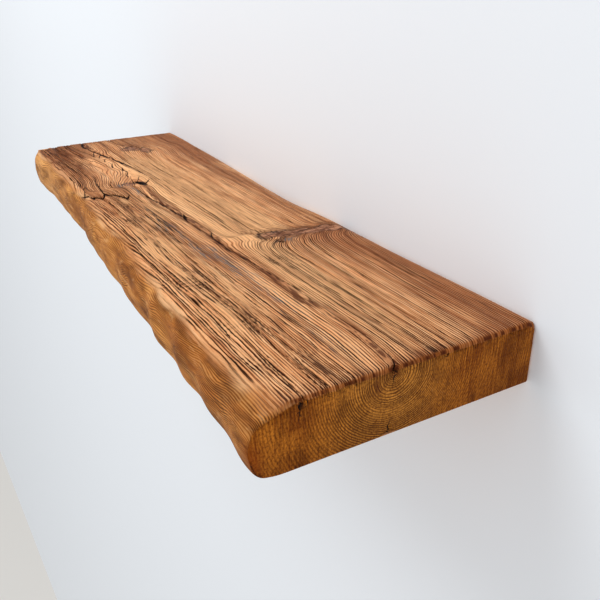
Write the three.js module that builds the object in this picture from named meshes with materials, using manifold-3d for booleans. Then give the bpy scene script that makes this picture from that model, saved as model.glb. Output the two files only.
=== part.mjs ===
import * as THREE from "three";
import { mergeVertices } from "three/addons/utils/BufferGeometryUtils.js";
import Module from "manifold-3d";

// A floating wall shelf: one thick waney-edged plank that slides onto a concealed steel bracket.
// Millimetres. +X is to the right when facing the wall, +Y goes into the wall and +Z is up.
// The origin is on the wall plane, at the middle of the wall plate's back face.

// Plank
const plankLength = 800;
const plankDepth = 270;
const plankThickness = 60;
const endEase = 5;
const sawnEase = 1.2;
const backWaneRun = 26;
const backWaneDrop = 12;
const backWaneFlatShare = 0.8;
const undersideRun = 31;
const lumpHeight = 1.4;
const lumpPitch = 62;
const loftStations = 56;
const easeSteps = 3;

// Knot hollow, shakes and brushed furrows of the plank
const knotHollowRadius = 7;
const knotHollowDepth = 16;
const shakeWidth = 2.6;
const shakeDepth = 9;
const furrowWidth = 10;
const furrowDepth = 1.6;
const runTipShare = 0.15;

// Concealed bracket
const plateLength = 660;
const plateHeight = 30;
const plateThickness = 6;
const plateCornerRadius = 5;
const rodCount = 4;
const rodFromPlateEnd = 54;
const rodDiameter = 14;
const rodLength = 180;
const rodTipChamfer = 2;
const spigotDiameter = 10;
const spigotSetback = 0.6;
const weldLeg = 4;

// Wall screws and plugs
const screwDiameter = 6;
const screwLength = 60;
const screwHeadDiameter = 11.6;
const screwTipLength = 9;
const screwFromRod = 38;
const socketDiameter = 5.2;
const socketDepth = 2.2;
const headSetback = 0.4;
const plugDiameter = 10;
const plugLength = 50;
const plugSetback = 3;
const plugBarbs = 4;
const plugBarbHeight = 0.7;
const plugSlotWidth = 1.6;
const plugSlotStart = 12;
const plugNoseLength = 6;

// Clearances
const seatGap = 0.3;
const pocketGap = 1.5;
const pocketFloorGap = 0.6;
const boreEndGap = 5;
const cutOverrun = 10;

// Facets
const rodSides = 24;
const screwSides = 16;
const knotSides = 12;

// The live edge, from the left end of the plank (share 0) to the right end (share 1):
// how far it reaches from the wall and how wide its sloping upper part is.
const edgeStationShares = [0, 0.03, 0.1, 0.2, 0.3, 0.4, 0.5, 0.6, 0.7, 0.8, 0.9, 1];
const edgeReachShares = [
  0.815, 0.823, 0.827, 0.835, 0.845, 0.874, 0.9, 0.913, 0.93, 0.953, 0.962, 1,
];
const upperRunOfDepthShares = [
  0.035, 0.03, 0.035, 0.045, 0.05, 0.062, 0.08, 0.082, 0.06, 0.055, 0.08, 0.14,
];

// Its larger swellings and hollows: [share of the length, share of the lumps' height, share of
// the lumps' pitch over which it fades].
const swellingShares = [
  [0, 3.4, 0.4],
  [0.25, 1.7, 0.28],
  [0.52, -1.2, 0.35],
  [0.645, 1.7, 0.38],
  [0.725, 1.6, 0.26],
  [0.815, 1.1, 0.35],
  [0.89, 3.4, 0.38],
];

// The edge's outline across the plank: [share of the upper run back from the bulge, share of
// the thickness below the top] down to the bulge, then the same with the underside's run.
const upperEdgeShares = [
  [1, 0],
  [0.71, 0.065],
  [0.42, 0.125],
  [0.24, 0.17],
  [0.12, 0.23],
  [0.03, 0.37],
  [0, 0.53],
];
const lowerEdgeShares = [
  [0.05, 0.7],
  [0.14, 0.86],
  [0.29, 0.95],
  [0.56, 0.985],
  [1, 1],
];

// How much of the back arris the bark edge has taken, at the stations above.
const backWaneShares = [0.04, 0.04, 0.1, 0.25, 0.46, 0.7, 0.85, 0.58, 0.54, 0.45, 0.35, 0.3];

// The shakes in the top, each a run of [share of the length, share of the depth] points.
const shakeRunShares = [
  [
    [0.002, 0.562],
    [0.07, 0.54],
    [0.13, 0.512],
    [0.19, 0.492],
    [0.25, 0.468],
  ],
  [
    [0.405, 0.58],
    [0.45, 0.562],
    [0.51, 0.547],
    [0.565, 0.531],
    [0.62, 0.543],
    [0.69, 0.532],
    [0.75, 0.524],
  ],
  [
    [0.875, 0.53],
    [0.91, 0.517],
    [0.95, 0.507],
    [1, 0.53],
  ],
  [
    [0.4, 0.64],
    [0.379, 0.67],
    [0.354, 0.71],
    [0.332, 0.75],
  ],
  [
    [0.375, 0.748],
    [0.356, 0.785],
    [0.328, 0.822],
  ],
];

// The furrows brushed out of the softest rings near the live edge, as runs of the same kind.
// Where a run passes the plank's end, its furrow is open there.
const furrowRunShares = [
  [
    [0.43, 0.708],
    [0.55, 0.716],
    [0.68, 0.712],
    [0.8, 0.72],
    [0.92, 0.714],
    [1.06, 0.72],
  ],
  [
    [0.46, 0.79],
    [0.6, 0.797],
    [0.72, 0.79],
    [0.84, 0.8],
    [0.95, 0.803],
    [1.08, 0.8],
  ],
  [
    [0.64, 0.825],
    [0.72, 0.838],
    [0.8, 0.846],
    [0.88, 0.85],
    [0.96, 0.845],
    [1.04, 0.842],
  ],
  [
    [-0.06, 0.715],
    [0.04, 0.71],
    [0.12, 0.716],
    [0.2, 0.706],
    [0.28, 0.712],
  ],
  [
    [0.5, 0.645],
    [0.6, 0.655],
    [0.7, 0.648],
    [0.8, 0.655],
    [0.88, 0.65],
  ],
  [
    [0.12, 0.755],
    [0.19, 0.765],
    [0.26, 0.77],
    [0.33, 0.768],
  ],
];
const knotHollowShares = [0.322, 0.532];

const wasm = await Module();
wasm.setup();

// Turns a closed geometry into a solid that can be cut and joined.
function solidOf(geometry) {
  const bare = geometry.clone();
  bare.deleteAttribute("normal");
  bare.deleteAttribute("uv");
  const merged = mergeVertices(bare);
  return new wasm.Manifold(
    new wasm.Mesh({
      numProp: 3,
      vertProperties: merged.attributes.position.array,
      triVerts: new Uint32Array(merged.index.array),
    }),
  );
}

function geometryOf(solid) {
  const mesh = solid.getMesh();
  const geometry = new THREE.BufferGeometry();
  geometry.setAttribute("position", new THREE.BufferAttribute(mesh.vertProperties, 3));
  geometry.setIndex(new THREE.BufferAttribute(mesh.triVerts, 1));
  const faceted = geometry.toNonIndexed();
  faceted.computeVertexNormals();
  return faceted;
}

function cut(geometry, cutters) {
  const whole = solidOf(geometry);
  return geometryOf(cutters.reduce((solid, cutter) => solid.subtract(solidOf(cutter)), whole));
}

// A round piece about the Y axis from [radius, y] points, listed towards +Y on its outer wall.
function turned(outline, sides) {
  const points = outline.map(([radius, y]) => new THREE.Vector2(radius, y));
  return new THREE.LatheGeometry(points, sides);
}

// A smooth run through values given at the live edge's stations.
function alongPlank(values) {
  const curve = new THREE.CubicInterpolant(edgeStationShares, values, 1);
  return (share) => curve.evaluate(share)[0];
}

const edgeReachShareAt = alongPlank(edgeReachShares);
const upperRunShareAt = alongPlank(upperRunOfDepthShares);
const backWaneShareAt = alongPlank(backWaneShares);

// Irregular lumps left by the wood just under the bark: an even ripple and a few larger swellings.
function edgeLump(x) {
  const turns = (2 * Math.PI * x) / lumpPitch;
  const ripple = (Math.sin(turns) + Math.sin(turns * Math.SQRT1_2 + 1)) / 2;
  const swellings = swellingShares.map(([lengthShare, heightShare, pitchShare]) => {
    const away = (x - (lengthShare - 0.5) * plankLength) / (pitchShare * lumpPitch);
    return heightShare * Math.exp(-away * away);
  });
  return lumpHeight * swellings.reduce((sum, height) => sum + height, ripple);
}

// The back arris lies between a round one and a plain bevel.
function waneShare(round, bevel) {
  return THREE.MathUtils.lerp(round, bevel, backWaneFlatShare);
}

// The plank's outline in the YZ plane at one place along it, anticlockwise seen from +X.
// At the two ends the ease draws the outline in, more on the worn top than on the sawn sides.
function plankSection(share, ease) {
  const x = (share - 0.5) * plankLength;
  const reach = plankDepth * edgeReachShareAt(share) + edgeLump(x) - sawnEase * ease;
  const upperRun = plankDepth * upperRunShareAt(share);
  const top = plankThickness / 2 - endEase * ease;
  const bottom = -plankThickness / 2 + sawnEase * ease;
  const back = -sawnEase * ease;
  const wane = backWaneShareAt(share);
  const height = top - bottom;
  const upper = upperEdgeShares.map(([run, drop]) => [run * upperRun - reach, top - drop * height]);
  const lower = lowerEdgeShares.map(([run, drop]) => [run * undersideRun - reach, top - drop * height]);
  const arc = [0, 1, 2, 3].map((step) => (step * Math.PI) / 6);
  const backBottom = arc.map((angle) => [
    back - sawnEase * (1 - Math.sin(angle)),
    bottom + sawnEase * (1 - Math.cos(angle)),
  ]);
  const backTop = arc.map((angle, step) => [
    back - backWaneRun * wane * waneShare(1 - Math.cos(angle), step / (arc.length - 1)),
    top - backWaneDrop * wane * waneShare(1 - Math.sin(angle), 1 - step / (arc.length - 1)),
  ]);
  return [...backBottom, ...backTop, ...upper, ...lower];
}

// The solid plank before it is bored and split: its sections joined end to end.
function plankBlank() {
  const rings = [];
  const addRing = (x, share, ease) => {
    rings.push(plankSection(share, ease).map(([y, z]) => new THREE.Vector3(x, y, z)));
  };
  const halfLength = plankLength / 2;
  const easedShare = endEase / plankLength;
  for (let step = easeSteps; step > 0; step--) {
    const angle = (step / easeSteps) * (Math.PI / 2);
    addRing(-halfLength + endEase * (1 - Math.sin(angle)), 0, 1 - Math.cos(angle));
  }
  for (let station = 0; station <= loftStations; station++) {
    const share = THREE.MathUtils.lerp(easedShare, 1 - easedShare, station / loftStations);
    addRing((share - 0.5) * plankLength, share, 0);
  }
  for (let step = 1; step <= easeSteps; step++) {
    const angle = (step / easeSteps) * (Math.PI / 2);
    addRing(halfLength - endEase * (1 - Math.sin(angle)), 1, 1 - Math.cos(angle));
  }

  const size = rings[0].length;
  const index = [];
  for (let ring = 0; ring + 1 < rings.length; ring++) {
    for (let point = 0; point < size; point++) {
      const here = ring * size + point;
      const next = ring * size + ((point + 1) % size);
      index.push(here, next, next + size, here, next + size, here + size);
    }
  }
  const last = (rings.length - 1) * size;
  const capOf = (ring) => {
    const flat = ring.map(({ y, z }) => new THREE.Vector2(y, z));
    return THREE.ShapeUtils.triangulateShape(flat, []);
  };
  capOf(rings[0]).forEach(([a, b, c]) => index.push(a, c, b));
  capOf(rings.at(-1)).forEach(([a, b, c]) => index.push(last + a, last + b, last + c));

  const blank = new THREE.BufferGeometry().setFromPoints(rings.flat());
  blank.setIndex(index);
  return blank;
}

// A wedge that opens the top along a run: three points at each stop, across the run's way
// there. It is widest and deepest at mid-run, and its sides keep one slope.
function wedgeCutter(run, width, depth) {
  const top = new THREE.Vector3(0, 0, plankThickness / 2);
  const up = new THREE.Vector3(0, 0, 1);
  const stops = run.map(([lengthShare, depthShare]) => {
    const x = (lengthShare - 0.5) * plankLength;
    return new THREE.Vector3(x, -depthShare * plankDepth, 0).add(top);
  });
  const corners = stops.flatMap((stop, number) => {
    const swell = Math.sin((Math.PI * number) / (stops.length - 1));
    const scale = THREE.MathUtils.lerp(runTipShare, 1, swell);
    const spread = (width / 2) * (scale + cutOverrun / depth);
    const way = stops[Math.min(number + 1, stops.length - 1)].clone();
    way.sub(stops[Math.max(number - 1, 0)]).normalize();
    const raised = stop.clone().addScaledVector(up, cutOverrun);
    const aside = up.clone().cross(way);
    return [
      raised.clone().addScaledVector(aside, -spread),
      raised.clone().addScaledVector(aside, spread),
      stop.clone().addScaledVector(up, -depth * scale),
    ];
  });
  const index = [];
  for (let stop = 0; stop + 1 < stops.length; stop++) {
    for (let corner = 0; corner < 3; corner++) {
      const here = 3 * stop + corner;
      const next = 3 * stop + ((corner + 1) % 3);
      index.push(here, next + 3, next, here, here + 3, next + 3);
    }
  }
  const last = 3 * (stops.length - 1);
  index.push(0, 1, 2, last, last + 2, last + 1);
  const wedge = new THREE.BufferGeometry().setFromPoints(corners);
  wedge.setIndex(index);
  return wedge;
}

// The loose knot's hollow: a tapered pit that leans with the branch that made it.
function knotHollowCutter() {
  const pit = turned(
    [
      [0, -knotHollowDepth],
      [knotHollowRadius / 2, -knotHollowDepth + knotHollowRadius / 2],
      [knotHollowRadius, 0],
      [knotHollowRadius, cutOverrun],
      [0, cutOverrun],
    ],
    knotSides,
  );
  const [lengthShare, depthShare] = knotHollowShares;
  pit.rotateX(Math.PI / 2);
  pit.translate((lengthShare - 0.5) * plankLength, -depthShare * plankDepth, plankThickness / 2);
  return pit;
}

const rodSpacing = (plateLength - 2 * rodFromPlateEnd) / (rodCount - 1);
const rodPlaces = [...Array(rodCount).keys()].map((rod) => (rod - (rodCount - 1) / 2) * rodSpacing);
const screwPlaces = rodPlaces.flatMap((x) => [x - screwFromRod, x + screwFromRod]);

// The wall plate's outline, grown by a margin for the pocket that takes it.
function plateOutline(margin) {
  const halfLength = plateLength / 2 + margin;
  const halfHeight = plateHeight / 2 + margin;
  const radius = plateCornerRadius + margin;
  const outline = new THREE.Shape();
  outline.absarc(halfLength - radius, halfHeight - radius, radius, 0, Math.PI / 2);
  outline.absarc(radius - halfLength, halfHeight - radius, radius, Math.PI / 2, Math.PI);
  outline.absarc(radius - halfLength, radius - halfHeight, radius, Math.PI, Math.PI * 1.5);
  outline.absarc(halfLength - radius, radius - halfHeight, radius, Math.PI * 1.5, Math.PI * 2);
  return outline;
}

// An outline in the wall's plane, thickened from y = 0 towards the room.
function fromWall(outline, thickness) {
  const slab = new THREE.ExtrudeGeometry(outline, {
    depth: thickness,
    bevelEnabled: false,
    curveSegments: 4,
  });
  return slab.rotateX(Math.PI / 2);
}

function plateCutters() {
  const spigotHole = spigotDiameter / 2 + seatGap;
  const screwHole = screwDiameter / 2 + seatGap;
  const headHole = screwHeadDiameter / 2 + seatGap;
  const front = -plateThickness;
  const forRods = rodPlaces.map((x) =>
    turned(
      [
        [0, front - cutOverrun],
        [spigotHole, front - cutOverrun],
        [spigotHole, cutOverrun],
        [0, cutOverrun],
      ],
      rodSides,
    ).translate(x, 0, 0),
  );
  const forScrews = screwPlaces.map((x) =>
    turned(
      [
        [0, front - cutOverrun],
        [headHole, front - cutOverrun],
        [headHole, front + headSetback],
        [screwHole, front + headSetback + headHole - screwHole],
        [screwHole, cutOverrun],
        [0, cutOverrun],
      ],
      screwSides,
    ).translate(x, 0, 0),
  );
  return [...forRods, ...forScrews];
}

function wallPlate() {
  return cut(fromWall(plateOutline(0), plateThickness), plateCutters());
}

// A rod with its spigot through the plate and a collar of weld where it meets the plate.
function supportRod() {
  const radius = rodDiameter / 2;
  const shoulder = -plateThickness - seatGap;
  const tip = -plateThickness - rodLength;
  return turned(
    [
      [0, tip],
      [radius - rodTipChamfer, tip],
      [radius, tip + rodTipChamfer],
      [radius, shoulder - weldLeg],
      [radius + weldLeg, shoulder],
      [spigotDiameter / 2, shoulder],
      [spigotDiameter / 2, -spigotSetback],
      [0, -spigotSetback],
    ],
    rodSides,
  );
}

// Everything in the plank that takes the bracket: the plate's pocket, the rods' blind bores and
// the cone at each bore's mouth that clears the weld.
function bracketCutters() {
  const pocketFloor = -plateThickness - pocketFloorGap;
  const pocket = fromWall(plateOutline(pocketGap), -pocketFloor + cutOverrun);
  pocket.translate(0, cutOverrun, 0);
  const boreRadius = rodDiameter / 2 + seatGap;
  const boreEnd = -plateThickness - rodLength - boreEndGap;
  const bores = rodPlaces.map((x) =>
    turned(
      [
        [0, boreEnd],
        [boreRadius, boreEnd],
        [boreRadius, pocketFloor - weldLeg],
        [boreRadius + weldLeg, pocketFloor],
        [boreRadius + weldLeg, pocketFloor + seatGap],
        [0, pocketFloor + seatGap],
      ],
      rodSides,
    ).translate(x, 0, 0),
  );
  return [pocket, ...bores];
}

function plank() {
  return cut(plankBlank(), [
    ...bracketCutters(),
    ...shakeRunShares.map((run) => wedgeCutter(run, shakeWidth, shakeDepth)),
    ...furrowRunShares.map((run) => wedgeCutter(run, furrowWidth, furrowDepth)),
    knotHollowCutter(),
  ]);
}

// The six-lobed drive socket in a screw's head.
function driveSocket(headTop) {
  const lobes = 6;
  const depthOfLobe = socketDiameter / 10;
  const steps = [...Array(4 * lobes).keys()];
  const outline = new THREE.Shape(
    steps.map((step) => {
      const angle = (2 * Math.PI * step) / steps.length;
      const radius = socketDiameter / 2 - depthOfLobe * (1 - Math.cos(lobes * angle));
      return new THREE.Vector2(radius * Math.cos(angle), radius * Math.sin(angle));
    }),
  );
  const socket = fromWall(outline, socketDepth + cutOverrun);
  return socket.translate(0, headTop + socketDepth, 0);
}

function wallScrew() {
  const headTop = -plateThickness + headSetback;
  const headRadius = screwHeadDiameter / 2;
  const shankRadius = screwDiameter / 2;
  const tip = headTop + screwLength;
  const body = turned(
    [
      [0, headTop],
      [headRadius, headTop],
      [shankRadius, headTop + headRadius - shankRadius],
      [shankRadius, tip - screwTipLength],
      [0, tip],
    ],
    screwSides,
  );
  return cut(body, [driveSocket(headTop)]);
}

// A nylon plug: barbed sleeve round the screw, split crosswise between its neck and its nose.
function wallPlug() {
  const boreRadius = screwDiameter / 2 + seatGap;
  const outerRadius = plugDiameter / 2;
  const far = plugSetback + plugLength;
  const barbStart = plugSetback + plugSlotStart;
  const barbPitch = (far - plugNoseLength - barbStart) / plugBarbs;
  const outside = [
    [outerRadius, plugSetback],
    [outerRadius, barbStart],
  ];
  for (let barb = 0; barb < plugBarbs; barb++) {
    outside.push([outerRadius - plugBarbHeight, barbStart + barb * barbPitch + plugBarbHeight]);
    outside.push([outerRadius, barbStart + (barb + 1) * barbPitch]);
  }
  outside.push([(outerRadius + boreRadius) / 2, far]);
  const start = [boreRadius, plugSetback];
  const sleeve = turned([start, ...outside, [boreRadius, far], start], screwSides);
  const slotLength = plugLength - plugSlotStart - plugNoseLength;
  const slotMiddle = plugSetback + plugSlotStart + slotLength / 2;
  const across = new THREE.BoxGeometry(plugDiameter + cutOverrun, slotLength, plugSlotWidth);
  const upright = new THREE.BoxGeometry(plugSlotWidth, slotLength, plugDiameter + cutOverrun);
  return cut(sleeve, [across, upright].map((slot) => slot.translate(0, slotMiddle, 0)));
}

const wood = new THREE.MeshStandardMaterial({ color: 0xb98558, roughness: 0.82, metalness: 0 });
const steel = new THREE.MeshStandardMaterial({ color: 0x9a9da0, roughness: 0.42, metalness: 1 });
const zinc = new THREE.MeshStandardMaterial({ color: 0xcbb36a, roughness: 0.35, metalness: 1 });
const nylon = new THREE.MeshStandardMaterial({ color: 0x8f9396, roughness: 0.55, metalness: 0 });

const shelf = new THREE.Group();

function addPiece(name, geometry, material, x = 0) {
  const piece = new THREE.Mesh(geometry, material);
  piece.name = name;
  piece.position.x = x;
  shelf.add(piece);
}

addPiece("plank", plank(), wood);
addPiece("wall_plate", wallPlate(), steel);
const rodGeometry = supportRod();
rodPlaces.forEach((x, rod) => addPiece(`support_rod_${rod + 1}`, rodGeometry, steel, x));
const screwGeometry = wallScrew();
const plugGeometry = wallPlug();
screwPlaces.forEach((x, screw) => {
  addPiece(`wall_screw_${screw + 1}`, screwGeometry, zinc, x);
  addPiece(`wall_plug_${screw + 1}`, plugGeometry, nylon, x);
});

export default shelf;
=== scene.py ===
import bmesh
import bpy
import numpy as np
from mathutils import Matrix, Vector
from mathutils.geometry import delaunay_2d_cdt


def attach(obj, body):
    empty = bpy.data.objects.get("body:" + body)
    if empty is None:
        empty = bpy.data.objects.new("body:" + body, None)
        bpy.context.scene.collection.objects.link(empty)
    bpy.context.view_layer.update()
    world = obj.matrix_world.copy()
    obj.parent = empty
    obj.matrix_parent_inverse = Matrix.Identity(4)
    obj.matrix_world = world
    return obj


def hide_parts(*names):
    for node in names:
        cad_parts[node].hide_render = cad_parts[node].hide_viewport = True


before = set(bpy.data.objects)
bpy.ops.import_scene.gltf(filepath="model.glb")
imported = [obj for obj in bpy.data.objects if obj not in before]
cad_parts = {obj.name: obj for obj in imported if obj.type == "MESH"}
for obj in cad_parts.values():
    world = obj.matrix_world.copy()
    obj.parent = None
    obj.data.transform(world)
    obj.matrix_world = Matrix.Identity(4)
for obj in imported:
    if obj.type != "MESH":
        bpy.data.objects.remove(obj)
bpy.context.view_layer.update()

# Plank, its form. One thick board sawn from the heart of an old softwood log, its waney front
# edge kept, cut square at both ends. Worked here in millimetres, as a skin of sections along X.
MM = 0.001
LENGTH, DEPTH, THICKNESS = 800.0, 270.0, 60.0
TOP = THICKNESS / 2
END_EASE, SAWN_EASE, EASE_STEPS = 5.0, 1.2, 6
UNDERSIDE_RUN, BACK_RUN, BACK_DROP, BACK_FLAT = 31.0, 26.0, 12.0, 0.8
LUMP_HEIGHT, LUMP_LENGTH, STATION_GAP = 1.4, 62.0, 7.0
STATIONS = np.array([0, 0.03, 0.1, 0.2, 0.3, 0.4, 0.5, 0.6, 0.7, 0.8, 0.9, 1])


def along_plank(values):
    """A smooth run through values given at the live edge's stations, as in the solid plank."""
    values = np.array(values)
    last = len(STATIONS) - 1

    def at(share):
        """The value at a share of the plank's length, curved through its neighbours."""
        right = np.clip(np.searchsorted(STATIONS, share, side="right"), 1, last)
        left = right - 1
        start, stop = STATIONS[left], STATIONS[right]
        before = np.where(left > 0, STATIONS[left - 1], 2 * start - stop)
        after = np.where(right < last, STATIONS[np.minimum(right + 1, last)], 2 * stop - start)
        value_before = values[np.where(left > 0, left - 1, right)]
        value_after = values[np.where(right < last, right + 1, left)]
        half = (stop - start) / 2
        w0, w1 = half / (start - before), half / (after - stop)
        p = (share - start) / (stop - start)
        return (
            (-w0 * p**3 + 2 * w0 * p**2 - w0 * p) * value_before
            + ((1 + w0) * p**3 - (1.5 + 2 * w0) * p**2 + (w0 - 0.5) * p + 1) * values[left]
            + ((-1 - w1) * p**3 + (1.5 + w1) * p**2 + 0.5 * p) * values[right]
            + (w1 * p**3 - w1 * p**2) * value_after
        )

    return at


reach_share = along_plank(
    [0.815, 0.823, 0.827, 0.835, 0.845, 0.874, 0.9, 0.913, 0.93, 0.953, 0.962, 1]
)
upper_run_share = along_plank(
    [0.035, 0.03, 0.035, 0.045, 0.05, 0.062, 0.08, 0.082, 0.06, 0.055, 0.08, 0.14]
)
back_wane = along_plank([0.04, 0.04, 0.1, 0.25, 0.46, 0.7, 0.85, 0.58, 0.54, 0.45, 0.35, 0.3])
# The edge's larger swellings and hollows: [x, height, length over which it fades].
SWELLINGS = [
    (-400, 4.76, 24.8), (-200, 2.38, 17.36), (16, -1.68, 21.7), (116, 2.38, 23.56),
    (180, 2.24, 16.12), (252, 1.54, 21.7), (312, 4.76, 23.56),
]
UPPER_EDGE = np.array(
    [[1, 0], [0.71, 0.065], [0.42, 0.125], [0.24, 0.17], [0.12, 0.23], [0.03, 0.37], [0, 0.53]]
)
LOWER_EDGE = np.array([[0.05, 0.7], [0.14, 0.86], [0.29, 0.95], [0.56, 0.985], [1, 1]])


def section_anchors(x, ease, swellings=SWELLINGS):
    """The corner points of the section at each x, from the back's top arris round to its foot."""
    share = (x + LENGTH / 2) / LENGTH
    turns = 2 * np.pi * x / LUMP_LENGTH
    lump = LUMP_HEIGHT * (np.sin(turns) + np.sin(turns * np.sqrt(0.5) + 1)) / 2
    for middle, height, length in swellings:
        lump = lump + height * np.exp(-(((x - middle) / length) ** 2))
    reach = (DEPTH * reach_share(share) + lump - SAWN_EASE * ease)[:, None]
    run = (DEPTH * upper_run_share(share))[:, None]
    top = (TOP - END_EASE * ease)[:, None]
    bottom = (SAWN_EASE * ease - TOP)[:, None]
    back = (-SAWN_EASE * ease)[:, None]
    wane = back_wane(share)[:, None]
    steps = np.arange(4) / 3
    angle = steps * np.pi / 2
    over = wane * ((1 - BACK_FLAT) * (1 - np.cos(angle)) + BACK_FLAT * steps)
    down = wane * ((1 - BACK_FLAT) * (1 - np.sin(angle)) + BACK_FLAT * (1 - steps))
    height = top - bottom
    parts = [
        (back - BACK_RUN * over, top - BACK_DROP * down),
        (UPPER_EDGE[:, 0] * run - reach, top - UPPER_EDGE[:, 1] * height),
        (LOWER_EDGE[:, 0] * UNDERSIDE_RUN - reach, top - LOWER_EDGE[:, 1] * height),
        (back - SAWN_EASE * (1 - np.sin(angle)), bottom + SAWN_EASE * (1 - np.cos(angle))),
    ]
    return np.concatenate([np.stack(part, -1) for part in parts], axis=1)


def smooth(low, high, value):
    """0 below low, 1 above high, with an eased run between them."""
    p = np.clip((value - low) / (high - low), 0, 1)
    return p * p * (3 - 2 * p)


def window(low, high, soft, value):
    """1 between low and high, eased down to 0 over soft on each side of both."""
    return smooth(low - soft, low + soft, value) * (1 - smooth(high - soft, high + soft, value))


# Where further sections stand, at the zigzag crack and the large knot: [start, end, their gap].
CLOSER = [(-152, -84, 2.2), (96, 150, 4.0)]
END_STRETCH, END_GAP = (22, 10), 2.6


def plank_stations():
    """Places of the sections, closer together at the ends, the zigzag crack and a knot."""
    fine = np.linspace(END_EASE - LENGTH / 2, LENGTH / 2 - END_EASE, 4001)
    per_mm = 1 / STATION_GAP
    for start, stop, gap in CLOSER:
        per_mm = per_mm + window(start, stop, 6, fine) / gap
    near_end = [LENGTH / 2 - far for far in END_STRETCH]
    per_mm = per_mm + smooth(*near_end, np.abs(fine)) / END_GAP
    count = np.concatenate([[0], np.cumsum((per_mm[1:] + per_mm[:-1]) / 2 * np.diff(fine))])
    whole = int(round(count[-1]))
    middle = np.interp(np.linspace(0, count[-1], whole + 1), count, fine)
    angle = np.arange(1, EASE_STEPS + 1) / EASE_STEPS * np.pi / 2
    tail = LENGTH / 2 - END_EASE + END_EASE * np.sin(angle)
    tail_ease = 1 - np.cos(angle)
    x = np.concatenate([-tail[::-1], middle, tail])
    ease = np.concatenate([tail_ease[::-1], np.zeros(len(middle)), tail_ease])
    return x, ease


TOP_COLUMNS, UNDERSIDE_COLUMNS = 392, 24
BACK_ARRIS, FLAT_TOP, EDGE_UPPER, EDGE_LOWER, UNDERSIDE, BACK_FOOT = range(6)
# [first anchor, how many columns up to the next anchor, whether the run is straight, its kind]
runs = [(k, 4, False, BACK_ARRIS) for k in range(3)]
runs += [(3, TOP_COLUMNS, True, FLAT_TOP)]
runs += [(k, n, False, EDGE_UPPER) for k, n in zip(range(4, 10), (10, 9, 6, 5, 7, 7))]
runs += [(k, n, False, EDGE_LOWER) for k, n in zip(range(10, 15), (7, 6, 5, 5, 6))]
runs += [(15, UNDERSIDE_COLUMNS, True, UNDERSIDE)]
runs += [(k, 1, False, BACK_FOOT) for k in range(16, 19)]


def plank_skin(x, ease):
    """Rows of skin points (station, column, xyz), and the run that each column belongs to."""
    anchors = section_anchors(x, ease)
    chord = np.diff(anchors, axis=1)
    length = np.maximum(np.linalg.norm(chord, axis=2, keepdims=True), 1e-6)
    way = chord / length
    tangent = np.concatenate([way[:, :1], way[:, :-1] + way[:, 1:], way[:, -1:]], axis=1)
    # Where a flat run starts or ends, the curve beside it sets off along the flat.
    for corner, flat in ((3, 3), (4, 3), (15, 15), (16, 15)):
        tangent[:, corner] = way[:, flat]
    tangent /= np.maximum(np.linalg.norm(tangent, axis=2, keepdims=True), 1e-6)
    # The flat top's width without the swellings, as a share of its width with them.
    calm = section_anchors(x, ease, [])
    calm = np.linalg.norm(calm[:, 4] - calm[:, 3], axis=1)[:, None] / length[:, 3]
    columns, kinds = [], []
    for anchor, count, straight, kind in runs:
        a, b = anchors[:, anchor], anchors[:, anchor + 1]
        reach = length[:, anchor]
        for p in np.arange(count) / count:
            if kind == FLAT_TOP:  # columns keep to the grain till close to the edge
                point = a + (b - a) * (p * calm + (1 - calm) * np.clip((p - 0.97) / 0.03, 0, 1))
            elif straight:
                point = a + (b - a) * p
            else:
                point = (
                    (2 * p**3 - 3 * p**2 + 1) * a
                    + (p**3 - 2 * p**2 + p) * reach * tangent[:, anchor]
                    + (3 * p**2 - 2 * p**3) * b
                    + (p**3 - p**2) * reach * tangent[:, anchor + 1]
                )
            columns.append(point)
            kinds.append(kind + p if kind != FLAT_TOP else kind)
    columns.append(anchors[:, -1])
    kinds.append(BACK_FOOT)
    skin = np.stack(columns, axis=1)
    rows = np.repeat(x[:, None, None], skin.shape[1], axis=1)
    return np.concatenate([rows, skin], axis=2), np.array(kinds)


station_x, station_ease = plank_stations()
skin, column_run = plank_skin(station_x, station_ease)
row_count, column_count = skin.shape[:2]
points = [skin.reshape(-1, 3)]
point_total = row_count * column_count
faces = []

first = (np.arange(row_count - 1)[:, None] * column_count + np.arange(column_count - 1)).ravel()
quads = np.stack([first, first + 1, first + column_count + 1, first + column_count], 1)
faces += [(quads, True)]


def add_points(new):
    """Adds points to the plank and returns their numbers."""
    global point_total
    points.append(np.asarray(new, float).reshape(-1, 3))
    numbers = np.arange(point_total, point_total + len(points[-1]))
    point_total += len(numbers)
    return numbers


TRIANGLES_LESS_HOLES, NEARNESS = 2, 1e-5


def fill_flat(loops, inner, lay):
    """Triangles between closed loops of numbered points, laid flat by two of their axes."""
    every = np.concatenate(points)
    numbers = np.concatenate([*loops, inner]).astype(int)
    flat = [Vector(every[n][list(lay)]) for n in numbers]
    edges, start = [], 0
    for loop in loops:
        size = len(loop)
        edges += [(start + k, start + (k + 1) % size) for k in range(size)]
        start += size
    found = delaunay_2d_cdt(flat, edges, [], TRIANGLES_LESS_HOLES, NEARNESS)
    first_of = [numbers[origin[0]] for origin in found[3]]
    return np.array([[first_of[k] for k in face] for face in found[2]])


def inside(outline, y, z):
    """Whether each point lies inside a closed outline."""
    hit = np.zeros(y.shape, bool)
    for (ya, za), (yb, zb) in zip(outline, np.roll(outline, -1, axis=0)):
        cross = (za > z) != (zb > z)
        hit ^= cross & (y < (yb - ya) * (z - za) / (zb - za + 1e-12) + ya)
    return hit


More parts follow.
